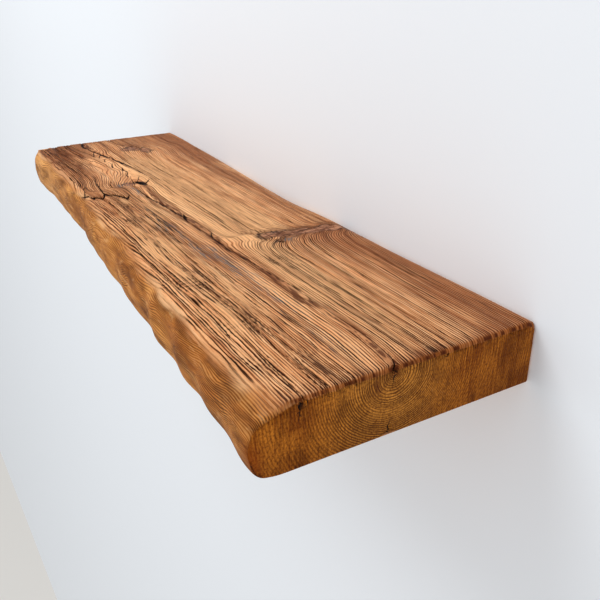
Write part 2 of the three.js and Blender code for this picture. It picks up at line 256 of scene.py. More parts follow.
# The sawn ends, filled with strewn points, so that rings and cracks can sink into them.
CAP_GRID, CAP_JITTER, CAP_INSET, CAP_MARGIN = 2.7, 0.7, 2.2, 2
across_cap = slice(CAP_MARGIN - DEPTH, 0, CAP_GRID)
up_cap = slice(CAP_MARGIN - TOP, TOP - CAP_MARGIN, CAP_GRID)
jitter = np.random.default_rng(61)
cap_numbers = []
for row in (0, row_count - 1):
    ring = row * column_count + np.arange(column_count)
    outline = skin[row][:, 1:]
    middle = outline.mean(axis=0)
    grid = np.mgrid[across_cap, up_cap].reshape(2, -1).T
    grid = grid + jitter.uniform(-CAP_JITTER, CAP_JITTER, grid.shape)
    inset = middle + (outline - middle) * (1 - CAP_INSET / np.abs(outline - middle).max(axis=0))
    grid = grid[inside(inset, grid[:, 0], grid[:, 1])]
    inner = add_points(np.column_stack([np.full(len(grid), skin[row, 0, 0]), grid]))
    cap_numbers.append(inner)
    faces += [(fill_flat([ring], inner, (1, 2)), True)]

# Plank, its back. The pocket for the wall plate is routed in, and four blind bores take the
# rods, each with a countersink that clears its weld.
PLATE_LENGTH, PLATE_HEIGHT, PLATE_CORNER = 660.0, 30.0, 5.0
POCKET_GAP, POCKET_FLOOR = 1.5, -6.6
ROD_X = (-276.0, -92.0, 92.0, 276.0)
BORE_RADIUS, BORE_END, WELD_LEG, BORE_SIDES = 7.3, -191.0, 4.0, 32
pocket_outline = []
for corner in range(4):
    middle_x = (PLATE_LENGTH / 2 - PLATE_CORNER) * (1, -1, -1, 1)[corner]
    middle_z = (PLATE_HEIGHT / 2 - PLATE_CORNER) * (1, 1, -1, -1)[corner]
    for angle in np.linspace(0, np.pi / 2, 7) + corner * np.pi / 2:
        radius = PLATE_CORNER + POCKET_GAP
        pocket_outline += [(middle_x + radius * np.cos(angle), middle_z + radius * np.sin(angle))]
pocket_outline = np.array(pocket_outline)


def back_loop(outline, y):
    """A closed loop of new points at one depth from the wall, and their numbers."""
    return add_points([(x, y, z) for x, z in outline])


def circle(x, radius):
    """The outline of a round bore."""
    angle = np.arange(BORE_SIDES) / BORE_SIDES * 2 * np.pi
    return np.column_stack([x + radius * np.cos(angle), radius * np.sin(angle)])


def wall_between(a, b):
    """Faces from one loop to the next."""
    return np.stack([a, np.roll(a, -1), np.roll(b, -1), b], 1)


mouth, floor = back_loop(pocket_outline, 0.0), back_loop(pocket_outline, POCKET_FLOOR)
bore_mouths = [back_loop(circle(x, BORE_RADIUS + WELD_LEG), POCKET_FLOOR) for x in ROD_X]
head = np.arange(row_count) * column_count
foot = head + column_count - 1
nothing = np.array([], int)
back_face = fill_flat([np.concatenate([head, foot[::-1]]), mouth], nothing, (0, 2))
pocket_floor = fill_flat([floor, *bore_mouths], nothing, (0, 2))
faces += [(back_face, False), (wall_between(mouth, floor), False), (pocket_floor, False)]
for x, ring in zip(ROD_X, bore_mouths):
    neck = back_loop(circle(x, BORE_RADIUS), POCKET_FLOOR - WELD_LEG)
    end = back_loop(circle(x, BORE_RADIUS), BORE_END)
    faces += [(wall_between(ring, neck), False), (wall_between(neck, end), False)]
    faces += [(fill_flat([end], nothing, (0, 2)), False)]

# Plank, its wood. The log's growth rings run through the whole board round a wandering pith,
# swept aside by three branches. They give both the relief, brushed out, and the colour.
lattice = np.random.default_rng(4761).random(4096) * 2 - 1


def drift(seed, *coordinates):
    """Smooth seeded noise, from -1 to 1, over one to three coordinates."""
    cells = [np.floor(c).astype(np.int64) for c in coordinates]
    parts = [c - cell for c, cell in zip(coordinates, cells)]
    fades = [p * p * p * (p * (p * 6 - 15) + 10) for p in parts]
    total = 0.0
    for corner in range(2 ** len(coordinates)):
        weight, key = 1.0, seed * 7919
        for axis, (cell, fade) in enumerate(zip(cells, fades)):
            bit = corner >> axis & 1
            weight = weight * (fade if bit else 1 - fade)
            key = key + (cell + bit) * (73856093, 19349663, 83492791)[axis]
        total = total + weight * lattice[(key ^ (key >> 13)) & 4095]
    return total


def spot(x, y, middle, radii):
    """1 at the middle of an oval spot, fading to 0 outside its two radii."""
    return np.exp(-(((x - middle[0]) / radii[0]) ** 2) - ((y - middle[1]) / radii[1]) ** 2)


# The pith's way through the board, and the line from which the rings are counted.
PITH_X = [-400, -350, -300, -240, -190, -142, -75, 0, 50, 100, 200, 300, 360, 400]
PITH_Y = [-151, -146, -140, -134, -133, -143, -153, -149, -147, -147, -143, -142, -139, -148]
PITH_Z = [24, 21, 12, 9, 12, 23, 25, 24, 24, 23, 24, 24, 24, 24]
HEART_Y = -145.0
PITH_BENDS = np.linspace(-24, 24, 7)


def pith_at(x):
    """The pith's y and z, its kinks rounded by averaging over a stretch of the plank."""
    return [
        sum(np.interp(x + s, PITH_X, places) for s in PITH_BENDS) / len(PITH_BENDS)
        for places in (PITH_Y, PITH_Z)
    ]


RING_REACH, THINNEST_RING = 400, 1.2
ring_random = np.random.default_rng(17).normal(0, 1, RING_REACH)
ring_radii = np.arange(0, float(RING_REACH))


def ring_table(near, far):
    """How many rings lie within each radius, from a width near the pith and one far out."""
    width = near + (far - near) * smooth(45, 100, ring_radii)
    width = width * (1 + 0.28 * np.convolve(ring_random, np.ones(5) / 5 * 1.6, "same"))
    return np.cumsum(1 / np.maximum(width, THINNEST_RING))


back_rings, front_rings = ring_table(2.2, 2.4), ring_table(2.2, 2.6)

# Each branch: foot and tip on the top, half width, how far the grain is swept towards its
# tip, and over what distance that fades to its left and to its right.
BRANCHES = [
    ((103, -141), (129, -8), 9.5, 21.0, 5.0, 15.0),
    ((-345, -108), (-303, -62), 12.0, 8.0, 14.0, 50.0),
    ((-141, -126), (-150, -184), 10.0, 6.0, 20.0, 9.0),
]
# What the top shows of the two small knots: [middle, radii] of ragged spots.
KNOT_SPOTS = [
    ((-305, -75), (14, 9)), ((-326, -89), (15, 9)), ((-322, -102), (9, 6)),
    ((-143, -143), (12, 6)), ((-147, -158), (9, 8)),
]


def ragged(x, y, middle, radii):
    """1 inside a spot with an uneven outline, 0 outside it."""
    off_x = x - middle[0] + 5 * drift(33, x / 10, y / 8)
    off_y = y - middle[1] + 4 * drift(34, x / 10, y / 8)
    return 1 - smooth(0.55, 1.15, np.hypot(off_x / radii[0], off_y / radii[1]))


def branch_place(branch, x, y):
    """How far along a branch each point is, and how far to its right, in half widths."""
    (foot_x, foot_y), (tip_x, tip_y) = branch[:2]
    along = (y - foot_y) / (tip_y - foot_y)
    wobble = 3.0 * drift(31, x / 19, y / 13) + 1.6 * drift(32, x / 6, y / 7)
    return along, x - foot_x - np.clip(along, 0, 1) * (tip_x - foot_x) + wobble


# How far the grain near the front edge bows out from the wall, along the plank.
BOW_X = [-100, 0, 60, 115, 150, 200, 250, 285, 320, 400]
BOW = [0, -1, 0, 2.6, 2.5, 0, -3, -2.5, 0, 1.5]


def rings_at(x, y, z):
    """The growth-ring count at each point."""
    pith_y, pith_z = pith_at(x)
    bow = sum(np.interp(x + s, BOW_X, BOW) for s in (-12, 0, 12)) / 3
    swept = y + bow * np.exp(-(((y + 213) / 15) ** 2))
    for branch in BRANCHES:
        (foot_x, foot_y), (tip_x, tip_y), half, sweep, fade_left, fade_right = branch
        along, across = branch_place(branch, x, y)
        beyond = np.maximum(np.abs(across) - half, 0)
        fade = np.exp(-beyond / np.where(across < 0, fade_left, fade_right))
        started = smooth(-0.25, 0.45, along) * smooth(-30, 20, z)
        swept = swept - np.sign(tip_y - foot_y) * sweep * fade * started
    from_heart = swept - HEART_Y
    wander = (pith_y - HEART_Y) * np.exp(-((from_heart / 24) ** 2))
    dy = from_heart - wander + 1.6 * drift(1, x / 170, y / 38, z / 40)
    dy = dy + 0.5 * drift(2, x / 40, y / 11, z / 30)
    radius = np.hypot(dy, z - pith_z)
    front = 0.5 - 0.5 * dy / np.maximum(radius, 1)
    count = (1 - front) * np.interp(radius, ring_radii, back_rings)
    count = count + front * np.interp(radius, ring_radii, front_rings)
    figure = window(-330, -165, 18, x) * window(-180, -128, 12, y)
    count = count + 1.1 * figure * drift(4, x / 26, y / 8)
    return count + 0.12 * drift(5, x / 18, y / 4, z / 9)


# Where the grooves are deeper or shallower: [change, middle, radii].
GROOVE_SPOTS = [
    (0.55, (-25, -192), (85, 24)), (-0.6, (-205, -166), (75, 22)), (0.8, (-215, -204), (80, 16)),
]
# Season checks, each along one ring: [start, end, distance from the wall at mid-run, strength].
CHECKS = [
    (-85, 160, 227.2, 1.7), (165, 392, 227.1, 1.7), (0, 285, 220.3, 1.35), (62, 165, 208.1, 1.2),
    (158, 310, 205.2, 1.55), (315, 403, 207.4, 1.65), (180, 312, 199.2, 1.55), (300, 345, 198.8, 1.55),
    (345, 403, 201.9, 1.65), (140, 228, 194.3, 1.2), (185, 262, 224.4, 1.65), (295, 385, 219.2, 1.45),
    (130, 200, 226.9, 1.1), (205, 368, 241.9, 1.45), (100, 195, 246.0, 1), (180, 300, 234.5, 1.2),
    (245, 390, 252.8, 1.1), (305, 403, 245.6, 1.35), (355, 403, 224.3, 1.8), (226, 274, 184.8, 1.25),
    (152, 225, 176.6, 1.55), (108, 150, 189.4, 1.25), (285, 325, 178.7, 1.35), (282, 318, 172.3, 1.35),
    (228, 262, 173.6, 1.55), (330, 403, 180.4, 1.1), (230, 396, 160.6, 1.1), (335, 360, 190.5, 1.2),
    (85, 125, 202.6, 1.1), (140, 172, 203.9, 1.2), (-95, -10, 201.1, 1.65), (-25, 22, 203.8, 1),
    (-30, 90, 181.6, 1.45), (-5, 45, 176.2, 1.1), (20, 58, 195.6, 1.35), (25, 60, 208.3, 1.2),
    (-95, -45, 214.6, 1.35), (-65, 70, 220.9, 1), (-262, -134, 216.7, 1.45), (-262, -160, 207.5, 1.2),
    (-262, -205, 192.5, 1), (-402, -300, 173.8, 1.25), (-402, -345, 183.3, 1.2),
    (-402, -290, 207.6, 1.2), (-370, -315, 161.6, 1.2), (-305, -235, 199.0, 1.1),
    (-62, 42, 118.9, 1.35), (-28, 55, 115.0, 0.95), (45, 98, 121.9, 0.95), (18, 92, 86.4, 1),
    (-34, 18, 95.9, 1), (66, 100, 100.5, 1.35), (-24, 56, 71.9, 1), (74, 98, 50.3, 1.35),
    (150, 292, 114.0, 1.2), (160, 400, 123.0, 1.2), (302, 345, 113.5, 1.2), (146, 184, 98.0, 0.95),
    (132, 280, 68.8, 1.2), (292, 400, 67.1, 1), (190, 265, 80.5, 0.95), (195, 335, 43.5, 1.1),
    (200, 290, 29.6, 0.95), (232, 325, 22.6, 0.95), (362, 398, 81.4, 1.35), (378, 403, 94.0, 1.55),
    (305, 352, 52.6, 0.95), (235, 398, 130.0, 0.95), (-250, -180, 66.0, 0.95), (-160, -85, 85.9, 0.95),
    (-110, -20, 45.8, 0.95),
]
# Broad pale ridges that the brush left whole: [start, end, distance from the wall, half width].
CALM_RIDGES = [
    (45, 195, 213, 3.5), (100, 200, 234, 1.5), (120, 300, 186, 3.5), (200, 270, 210, 2.0),
    (-235, -150, 168, 5.0), (-70, 0, 230, 2.5), (-105, -60, 187, 3.5), (-60, 30, 188, 2.5),
    (-10, 60, 209, 2.5), (250, 330, 248, 2.0), (150, 260, 155, 2.5),
]


def calm_share(x, y):
    """How far each point lies on one of the calm ridges."""
    calm = np.zeros(x.shape)
    for start, stop, from_wall, half in CALM_RIDGES:
        off = y + from_wall + 2.5 * drift(16, x / 45)
        calm = np.maximum(calm, window(start + 12, stop - 12, 12, x) * np.exp(-((off / half) ** 2)))
    return calm


def groove_strength(count, x, y):
    """How deep and dark the groove of the nearest ring is, in dashes along the grain."""
    ring = np.round(count)
    front = smooth(-160, -195, y)
    back = smooth(-95, -40, y)
    dash = 0.5 + 0.62 * drift(11, x / 92, ring * 3.713) + 0.34 * drift(12, x / 19, ring * 5.31)
    own = 0.5 + 0.5 * drift(13, ring * 1.93)
    deep = smooth(0.1, 0.7, drift(17, x / 130, ring * 2.77))
    strength = smooth(0.32, 0.92, dash) * (0.45 + 0.65 * own) * (1 + 0.45 * front - 0.45 * back)
    strength = strength * (1 - front * (0.5 - 0.9 * deep))
    strength = np.maximum(strength, (0.2 + 0.3 * own) * (1 - 0.3 * back))
    strength = strength + 0.45 * spot(x, y, (158, -85), (42, 50)) * smooth(0.2, 0.7, dash)
    bundle = drift(15, x / 75, y / 12)
    strength = strength * (1 + 0.2 * bundle) * (1 - 0.85 * calm_share(x, y))
    for start, stop, from_wall, marked in CHECKS:
        middle = np.array([(start + stop) / 2])
        own_ring = np.round(rings_at(middle, np.array([-from_wall]), np.array([TOP])))
        here = (ring == own_ring[0]) & (np.abs(y + from_wall) < 14)
        line = window(start + 6, stop - 6, 9, x) * (0.92 + 0.35 * drift(14, x / 14, ring * 2.1))
        strength = np.where(here, np.maximum(strength, marked * line), strength)
    strength = strength * (1 + 0.35 * smooth(-230, -300, x) * smooth(-140, -165, y))
    for change, place_of_spot, size_of_spot in GROOVE_SPOTS:
        strength = strength * (1 + change * spot(x, y, place_of_spot, size_of_spot))
    return strength * (1 + 0.5 * smooth(384, 397, np.abs(x)))


# Cracks across the grain and along the pith, as [x, distance from the wall, half width, depth].
TOP_CRACKS = [
    [(-400, 147, 0.5, 1), (-392, 148.5, 1.4, 1.5), (-374, 152, 2.6, 2.2), (-355, 150.5, 2.6, 2.0),
     (-335, 146, 2.5, 2.0), (-310, 141.5, 2.4, 1.9), (-288, 136.5, 2.2, 1.8), (-265, 132.5, 1.9, 1.8),
     (-235, 128.5, 1.5, 1.6), (-205, 126.5, 1.2, 1.5), (-180, 125, 0.9, 1.3), (-150, 122.5, 0.5, 1)],
    [(-132, 155.5, 0.8, 2), (-100, 156, 1.2, 2), (-72, 155.5, 1.3, 2), (-56, 153, 1.5, 3),
     (-40, 151.3, 1.9, 4), (-12, 149.8, 1.6, 3), (4, 149, 0.7, 2)],
    [(-2, 143.5, 0.5, 1), (6, 145.3, 1.2, 3), (13, 147.6, 2.4, 6), (22, 149.4, 1.0, 3),
     (31, 150, 0.4, 1)],
    [(28, 150.4, 0.5, 1.5), (48, 150.2, 0.8, 2), (66, 149.4, 0.7, 1.5)],
    [(74, 143.5, 0.5, 1), (80, 146.5, 1.4, 3), (90, 149, 0.7, 2), (100, 149, 0.5, 1)],
    [(95, 148.5, 0.5, 1), (108, 147.6, 1.2, 3), (125, 148.8, 1.1, 3), (150, 146.5, 0.8, 2),
     (172, 144, 0.8, 2), (200, 142.4, 0.7, 2), (225, 139.6, 0.7, 2), (238, 137.6, 0.9, 2),
     (255, 137.8, 0.5, 2), (275, 140.6, 0.6, 3), (300, 140.6, 0.7, 3), (325, 140.6, 0.5, 2)],
    [(378, 138, 0.3, 1), (390, 140.5, 0.5, 2), (396, 144, 0.8, 4), (400, 148, 0.9, 5)],
    [(-104, 171, 0.5, 2), (-96, 175.5, 1.1, 3), (-91, 178.5, 1.1, 3), (-104, 181.5, 1.0, 3),
     (-111, 184.5, 1.0, 3), (-118, 188.5, 1.0, 3), (-117, 192.5, 1.3, 4), (-125, 196.5, 1.0, 3),
     (-118, 198.5, 1.1, 4), (-113, 201.5, 1.2, 4), (-110, 204.5, 1.3, 4), (-113, 207.5, 1.1, 4),
     (-118, 211.5, 0.9, 3), (-113, 214.5, 0.9, 3), (-118, 216.5, 0.9, 3), (-130, 218.5, 0.9, 3),
     (-141, 222, 0.6, 2)],
    [(-200, 190.5, 0.3, 1), (-176, 191.5, 0.6, 2), (-155, 194, 0.9, 2), (-138, 197, 1.1, 3),
     (-125, 197.5, 1.2, 4)],
    [(-165, 211, 0.3, 1), (-150, 216, 0.7, 2), (-138, 219.5, 0.9, 2), (-131, 221.5, 0.7, 2)],
    [(-332, 147, 0.6, 1), (-318, 151.5, 1.2, 2), (-305, 155.5, 0.6, 1)],
    [(-310, 145, 0.6, 1), (-300, 148.5, 1.3, 2), (-292, 151.5, 0.6, 1)],
    [(-285, 145.5, 0.6, 1), (-276, 149, 1.2, 2), (-267, 151, 0.6, 1)],
    [(-256, 144.5, 0.6, 1), (-243, 148.5, 1.5, 2), (-232, 149.5, 0.8, 1)],
    [(-226, 139.5, 0.8, 1), (-214, 142.5, 1.6, 3), (-206, 140.5, 1.0, 1)],
    [(-200, 140.5, 0.8, 1), (-190, 145.5, 1.6, 3), (-178, 147, 1.0, 1)],
    [(-172, 134.5, 0.5, 1), (-159, 140.5, 1.4, 2.5), (-150, 145.5, 1.7, 3)],
    [(-168, 147, 0.5, 1), (-153, 150, 1.1, 2), (-142, 150.5, 0.6, 1)],
    [(-152, 127.5, 0.5, 1), (-145, 132.5, 1.0, 2), (-140, 138.5, 1.4, 3)],
    [(130, 93, 0.4, 1), (134, 90, 2.4, 4), (138, 87, 0.4, 1)],
]
# Where the top steps down across the zigzag crack, as the crack's own x at each y.
PLATE_Y = [
    -222, -218.5, -216.5, -214.5, -211.5, -207.5, -204.5, -201.5, -198.5, -196.5, -192.5, -188.5,
    -184.5, -181.5, -178.5, -175.5, -170.5,
]
PLATE_X = [
    -141, -130, -118, -113, -118, -113, -110, -113, -118, -125, -117, -118, -111, -104, -91, -96, -104,
]
# Cracks in the near end, as [distance from the wall, height, half width, depth].
END_CRACKS = [
    [(148.5, 32, 0.9, 3), (144.5, 26.5, 0.7, 3), (147.5, 18, 0.45, 2)],
    [(148.5, -17, 0.35, 1), (149, -24, 0.6, 3), (149.2, -31, 0.8, 3)],
    [(225.5, 31, 0.9, 3), (227.2, 24, 0.6, 2), (228.5, 12, 0.35, 1)],
    [(203, 31, 0.8, 2), (204.5, 23, 0.3, 1)],
    [(94, 31, 1.1, 2), (94.8, 25, 0.8, 2), (95, 23, 0.3, 1)],
    [(62.5, 31, 0.6, 2), (64, 22, 0.2, 1)],
    [(42, 31, 0.6, 2), (43.5, 22, 0.2, 1)],
    [(17.5, 31, 0.5, 2), (18.5, 17, 0.2, 1)],
    [(28, 31, 0.5, 2), (29, 24, 0.2, 1)],
]
# Small notches all along the near end's upper arris.
notches = np.random.default_rng(23)
for from_wall in np.arange(12, 246, 6.5):
    start = from_wall + notches.uniform(-2.5, 2.5)
    stop = start + notches.uniform(-1, 1)
    width, low = notches.uniform(0.3, 0.7), notches.uniform(17, 24)
    END_CRACKS += [[(start, 31, width, 1.5), (stop, low, 0.15, 0.5)]]

# The furrows brushed out near the live edge, where the solid has them too: [share of the
# plank's length, share of its depth] along each, widest and deepest at mid-run.
FURROWS = [
    [(0.43, 0.708), (0.55, 0.716), (0.68, 0.712), (0.8, 0.72), (0.92, 0.714), (1.06, 0.72)],
    [(0.46, 0.79), (0.6, 0.797), (0.72, 0.79), (0.84, 0.8), (0.95, 0.803), (1.08, 0.8)],
    [(0.64, 0.825), (0.72, 0.838), (0.8, 0.846), (0.88, 0.85), (0.96, 0.845), (1.04, 0.842)],
    [(-0.06, 0.715), (0.04, 0.71), (0.12, 0.716), (0.2, 0.706), (0.28, 0.712)],
    [(0.5, 0.645), (0.6, 0.655), (0.7, 0.648), (0.8, 0.655), (0.88, 0.65)],
    [(0.12, 0.755), (0.19, 0.765), (0.26, 0.77), (0.33, 0.768)],
]
FURROW_WIDTH, FURROW_DEPTH, FURROW_TIP = 10.0, 1.6, 0.15


def furrow_fall(x, y):
    """How deep the furrows are at each point of the top."""
    deepest = np.zeros(x.shape)
    for run in FURROWS:
        along, across = np.array(run).T
        stops = (along - 0.5) * LENGTH
        stop = np.interp(x, stops, np.arange(len(run)))
        scale = FURROW_TIP + (1 - FURROW_TIP) * np.sin(np.pi * stop / (len(run) - 1))
        off_middle = np.abs(y + DEPTH * np.interp(x, stops, across))
        bank = np.clip(1 - off_middle / (FURROW_WIDTH / 2 * scale), 0, 1)
        deepest = np.maximum(deepest, FURROW_DEPTH * scale * bank)
    return deepest


CRACK_REACH, CRACK_FADE = 9.0, (3.2, 4.4)


def crack_field(cracks, across, down):
    """The signed distance to the nearest crack, with its half width and depth there."""
    best = np.full(across.shape, CRACK_REACH)
    side, width, depth = best.copy(), np.zeros_like(best), np.zeros_like(best)
    for crack in cracks:
        for (xa, ya, wa, da), (xb, yb, wb, db) in zip(crack, crack[1:]):
            span = np.hypot(xb - xa, yb - ya)
            ux, uy = (xb - xa) / span, (yb - ya) / span
            p = np.clip(((across - xa) * ux + (down - ya) * uy) / span, 0, 1)
            off_x, off_y = across - xa - p * span * ux, down - ya - p * span * uy
            distance = np.hypot(off_x, off_y)
            near = distance < best
            best = np.where(near, distance, best)
            side = np.where(near, np.where(ux * off_y - uy * off_x < 0, -distance, distance), side)
            width = np.where(near, wa + p * (wb - wa), width)
            depth = np.where(near, da + p * (db - da), depth)
    return side, width * (1 - smooth(*CRACK_FADE, best)), depth


place = np.concatenate(points)
x, y, z = place.T
run_of = np.full(len(place), -1.0)
run_of[: row_count * column_count] = np.tile(column_run, row_count)
eased = np.zeros(len(place))
eased[: row_count * column_count] = np.repeat(station_ease, column_count)
on_cap = np.zeros(len(place), bool)
on_cap[np.concatenate(cap_numbers)] = True

# How far each point belongs to the brushed top, the waney edge or a sawn end.
below_top = np.clip((TOP - z) / THICKNESS, 0, 1)
upper = (run_of >= EDGE_UPPER) & (run_of < EDGE_LOWER)
lower = (run_of >= EDGE_LOWER) & (run_of < UNDERSIDE)
top_share = np.where((run_of >= 0) & (run_of < 2), 1.0, 0.0)
worn = 1 - smooth(0.02, 0.14, below_top + 0.03 * drift(41, x / 25))
top_share = np.where(upper, worn, top_share)
relief_share = top_share * (1 - 0.8 * smooth(0.8, 1.0, eased))
edge_share = np.where(upper, 1 - top_share, 0.0)
edge_share = np.where(lower, 1 - smooth(0.93, 0.995, below_top), edge_share)
end_share = np.where(on_cap, 1.0, smooth(0.72, 1.0, eased))
# The far front corner is waney right on to the top.
may_be_corner = ~on_cap & (run_of < EDGE_LOWER) & (run_of >= 0)
corner = may_be_corner * spot(x, y, (-399, -213), (13, 17))
corner = smooth(0.25, 0.6, corner + 0.12 * drift(42, x / 6, y / 6))
top_share, edge_share = top_share * (1 - corner), np.maximum(edge_share, corner * (z > 0))
relief_share = relief_share * (1 - corner)

all_faces = [list(face) for block, _ in faces for face in block]
is_smooth = np.concatenate([np.full(len(block), flag) for block, flag in faces])
plank_mesh = bpy.data.meshes.new("plank_wood")
plank_mesh.from_pydata((place * MM).tolist(), [], all_faces)
plank_mesh.polygons.foreach_set("use_smooth", is_smooth)
work = bmesh.new()
work.from_mesh(plank_mesh)
bmesh.ops.recalc_face_normals(work, faces=work.faces)
work.to_mesh(plank_mesh)
work.free()
outward = np.zeros(len(place) * 3)
plank_mesh.vertices.foreach_get("normal", outward)
outward = outward.reshape(-1, 3)

# Rings per millimetre of surface, which turns a share of a ring into a distance. The count is
# compared with that a small step away along each axis.
RING_STEP = 0.7
rings = rings_at(x, y, z)
stepped = ((x + RING_STEP, y, z), (x, y + RING_STEP, z), (x, y, z + RING_STEP))
slope = np.stack([rings_at(*there) - rings for there in stepped], -1) / RING_STEP
slope = slope - outward * (slope * outward).sum(axis=1)[:, None]
ring_rate = np.clip(np.linalg.norm(slope, axis=1), 0.06, 1.2)

# How near each point is to a ring's groove and to a crack; those of the near end are its own.
groove = groove_strength(rings, x, y)
off_ring = np.abs(rings - np.round(rings)) / ring_rate
crack_x, crack_y = x + 0.6 * drift(22, y / 5), y - 0.7 * drift(21, x / 8, y / 30)
crack, crack_width, crack_depth = crack_field(TOP_CRACKS, crack_x, -crack_y)
end_crack = crack_field(END_CRACKS, -y + 0.5 * drift(23, z / 3), z)
on_end = (x > LENGTH / 2 - 0.6) & (end_share > 0.3)
crack = np.where(on_end, end_crack[0], crack)
uneven = 0.8 + 0.5 * drift(25, x / 7, y / 9)
crack_width = np.where(on_end, end_crack[1], crack_width * uneven * (top_share > 0.05))
crack_depth = np.where(on_end, end_crack[2], crack_depth)
LEAST_CRACK, CRACK_FLARE = 0.05, 1.25
crack_slope = np.abs(crack) / np.maximum(crack_width * CRACK_FLARE, LEAST_CRACK)
crack_fall = np.where(crack_width > LEAST_CRACK, crack_depth * (1 - smooth(0, 1, crack_slope)), 0)

# A small slanting hole in the top, in the third knot.
HOLE_X, HOLE_Y, HOLE_SLANT, HOLE_DEPTH = -143, -144.5, 0.3, 4
hole = np.hypot((x - HOLE_X) * 0.75, (y - HOLE_Y - HOLE_SLANT * (x - HOLE_X)) * 1.9)
hole = hole * (1 + 0.3 * drift(24, x / 6, y / 3))
hole_fall = HOLE_DEPTH * (1 - smooth(1.0, 8.0, hole)) * (top_share > 0.5)

# What has been brushed, cut and worn away, in millimetres below the section's skin.
PLATE_STEP = 2.6
front = smooth(-160, -200, y)
back = smooth(-100, -50, y)
valley = 1 - smooth(0.25, 0.85 + 0.6 * groove, off_ring)
along, across = branch_place(BRANCHES[0], x, y)
knots = (1 - smooth(0.5, 1.15, np.abs(across) / BRANCHES[0][2])) * window(0.3, 1.0, 0.1, along)
for middle, spot_radii in KNOT_SPOTS:
    knots = np.maximum(knots, ragged(x, y, middle, spot_radii))
knots = knots * smooth(5, 22, z)
fall = relief_share * (0.8 + 0.95 * front - 0.25 * back) * groove * valley * (1 - 0.75 * knots)
fall = fall + relief_share * (0.25 + 0.35 * front) * (0.5 + 0.5 * drift(45, x / 80, rings / 2.3))
fall = fall + relief_share * furrow_fall(x, y)
plate_step = np.clip(crack_x - np.interp(crack_y, PLATE_Y, PLATE_X), 0, 60)
plate_edge = np.exp(-plate_step / 16) * smooth(0.0, 1.2, plate_step) * window(-224, -174, 4, y)
fall = fall + top_share * PLATE_STEP * plate_edge
fall = fall + top_share * 0.5 * (0.5 + 0.5 * drift(42, x / 70, y / 24))
trough = np.exp(-((crack / 4.5) ** 2)) * smooth(0.7, 1.5, crack_width)
fall = fall + top_share * 0.9 * trough * (np.abs(y - HEART_Y) < 14)
fall = fall + top_share * knots * (0.5 + 0.5 * drift(43, x / 3.5, y / 4))
lumps = 0.5 + 0.5 * drift(44, x / 34, z / 21 + y / 30)
fall = fall + edge_share * (0.35 + 1.5 * lumps**1.5 + 5.0 * smooth(388, 402, -x))
fall = fall + np.maximum(crack_fall * (top_share + end_share > 0.05), hole_fall)
fall = np.where(on_cap, 0.15 * valley + crack_fall + 0.1, fall)
place = place - outward * fall[:, None]
plank_mesh.vertices.foreach_set("co", (place * MM).ravel())
plank_mesh.update()

# The waney edge's own fine lines follow it lengthwise and wind round its lumps.
step_round = np.linalg.norm(np.diff(skin[:, :, 1:], axis=1), axis=2)
round_edge = np.concatenate([np.zeros((row_count, 1)), np.cumsum(step_round, axis=1)], axis=1)
round_edge = round_edge - round_edge[:, [int(np.argmax(column_run >= EDGE_UPPER))]]
skin_x = skin[:, :, 0]
wound = round_edge / 1.9 + 2.0 * drift(61, skin_x / 58, round_edge / 17)
wound = wound + 1.1 * drift(62, skin_x / 22, round_edge / 9)
wound = wound + 3.6 * lumps[: row_count * column_count].reshape(row_count, column_count)
along_rate = np.gradient(wound, axis=0) / np.gradient(skin_x, axis=0)
round_rate = np.gradient(wound, axis=1) / np.maximum(np.gradient(round_edge, axis=1), 0.05)
bark, bark_rate = np.zeros(len(place)), np.ones(len(place))
bark[: row_count * column_count] = wound.ravel()
bark_rate[: row_count * column_count] = np.clip(np.hypot(along_rate, round_rate), 0.1, 1.2).ravel()

# The dark ribbon that follows the pith, a reddish-brown band darkened further as painted shadow
# under the ridge along the pith: [x, distance from the wall, half width, strength].
RIBBON = np.array(
    [
        (-400, 149, 4, 0.9), (-340, 147, 3, 0.9), (-250, 131, 2, 0.7), (-190, 127, 2, 0.1),
        (-150, 144, 3, 0.1), (-125, 145, 3, 0.9), (-90, 147, 2.5, 0.8), (-60, 150, 3, 1.2),
        (-20, 148, 3.5, 1.3), (20, 147, 3.5, 1.2), (60, 146, 4, 1.0), (90, 146, 4, 1.0),
        (120, 148, 3, 1.2), (160, 146, 2.5, 1.1), (200, 144, 3, 1.1), (240, 144, 5, 1.0),
        (270, 144.5, 5, 1.0), (290, 141, 3, 1.1), (330, 139, 3, 1.0), (350, 140, 5, 0.9),
        (375, 141, 4, 0.9), (400, 147, 3, 1.0),
    ]
).T
ribbon_y, ribbon_half, ribbon_strength = (np.interp(x, RIBBON[0], row) for row in RIBBON[1:])
off_ribbon = np.abs(y + ribbon_y + 1.2 * drift(55, x / 22) + 0.8 * drift(56, x / 7)) / ribbon_half


def spots(x, y, table, shape=spot):
    """The sum of a table of spots: [strength, middle, radii]."""
    return sum(strength * shape(x, y, middle, radii) for strength, middle, radii in table)


# Blue stain: one long streak in front of the pith, and spots round the knots.
BLUE_SPOTS = [
    (0.6, (165, -164), (50, 5)), (1.6, (-142, -163), (9, 11)), (1.3, (-112, -160), (22, 4)),
    (1.3, (-326, -97), (16, 9)), (0.9, (133, -84), (5, 12)), (0.8, (108, -84), (4, 14)),
]
blue_centre = np.interp(x, [-60, 20, 80, 130, 220], [-178, -176, -171, -166, -164])
blue_centre = blue_centre + 2 * drift(51, x / 60)
blueing = np.exp(-(((y - blue_centre) / 11) ** 2)) * window(-40, 370, 50, x)
blueing = blueing * (0.6 + 0.5 * drift(52, x / 40, y / 7)) + spots(x, y, BLUE_SPOTS)

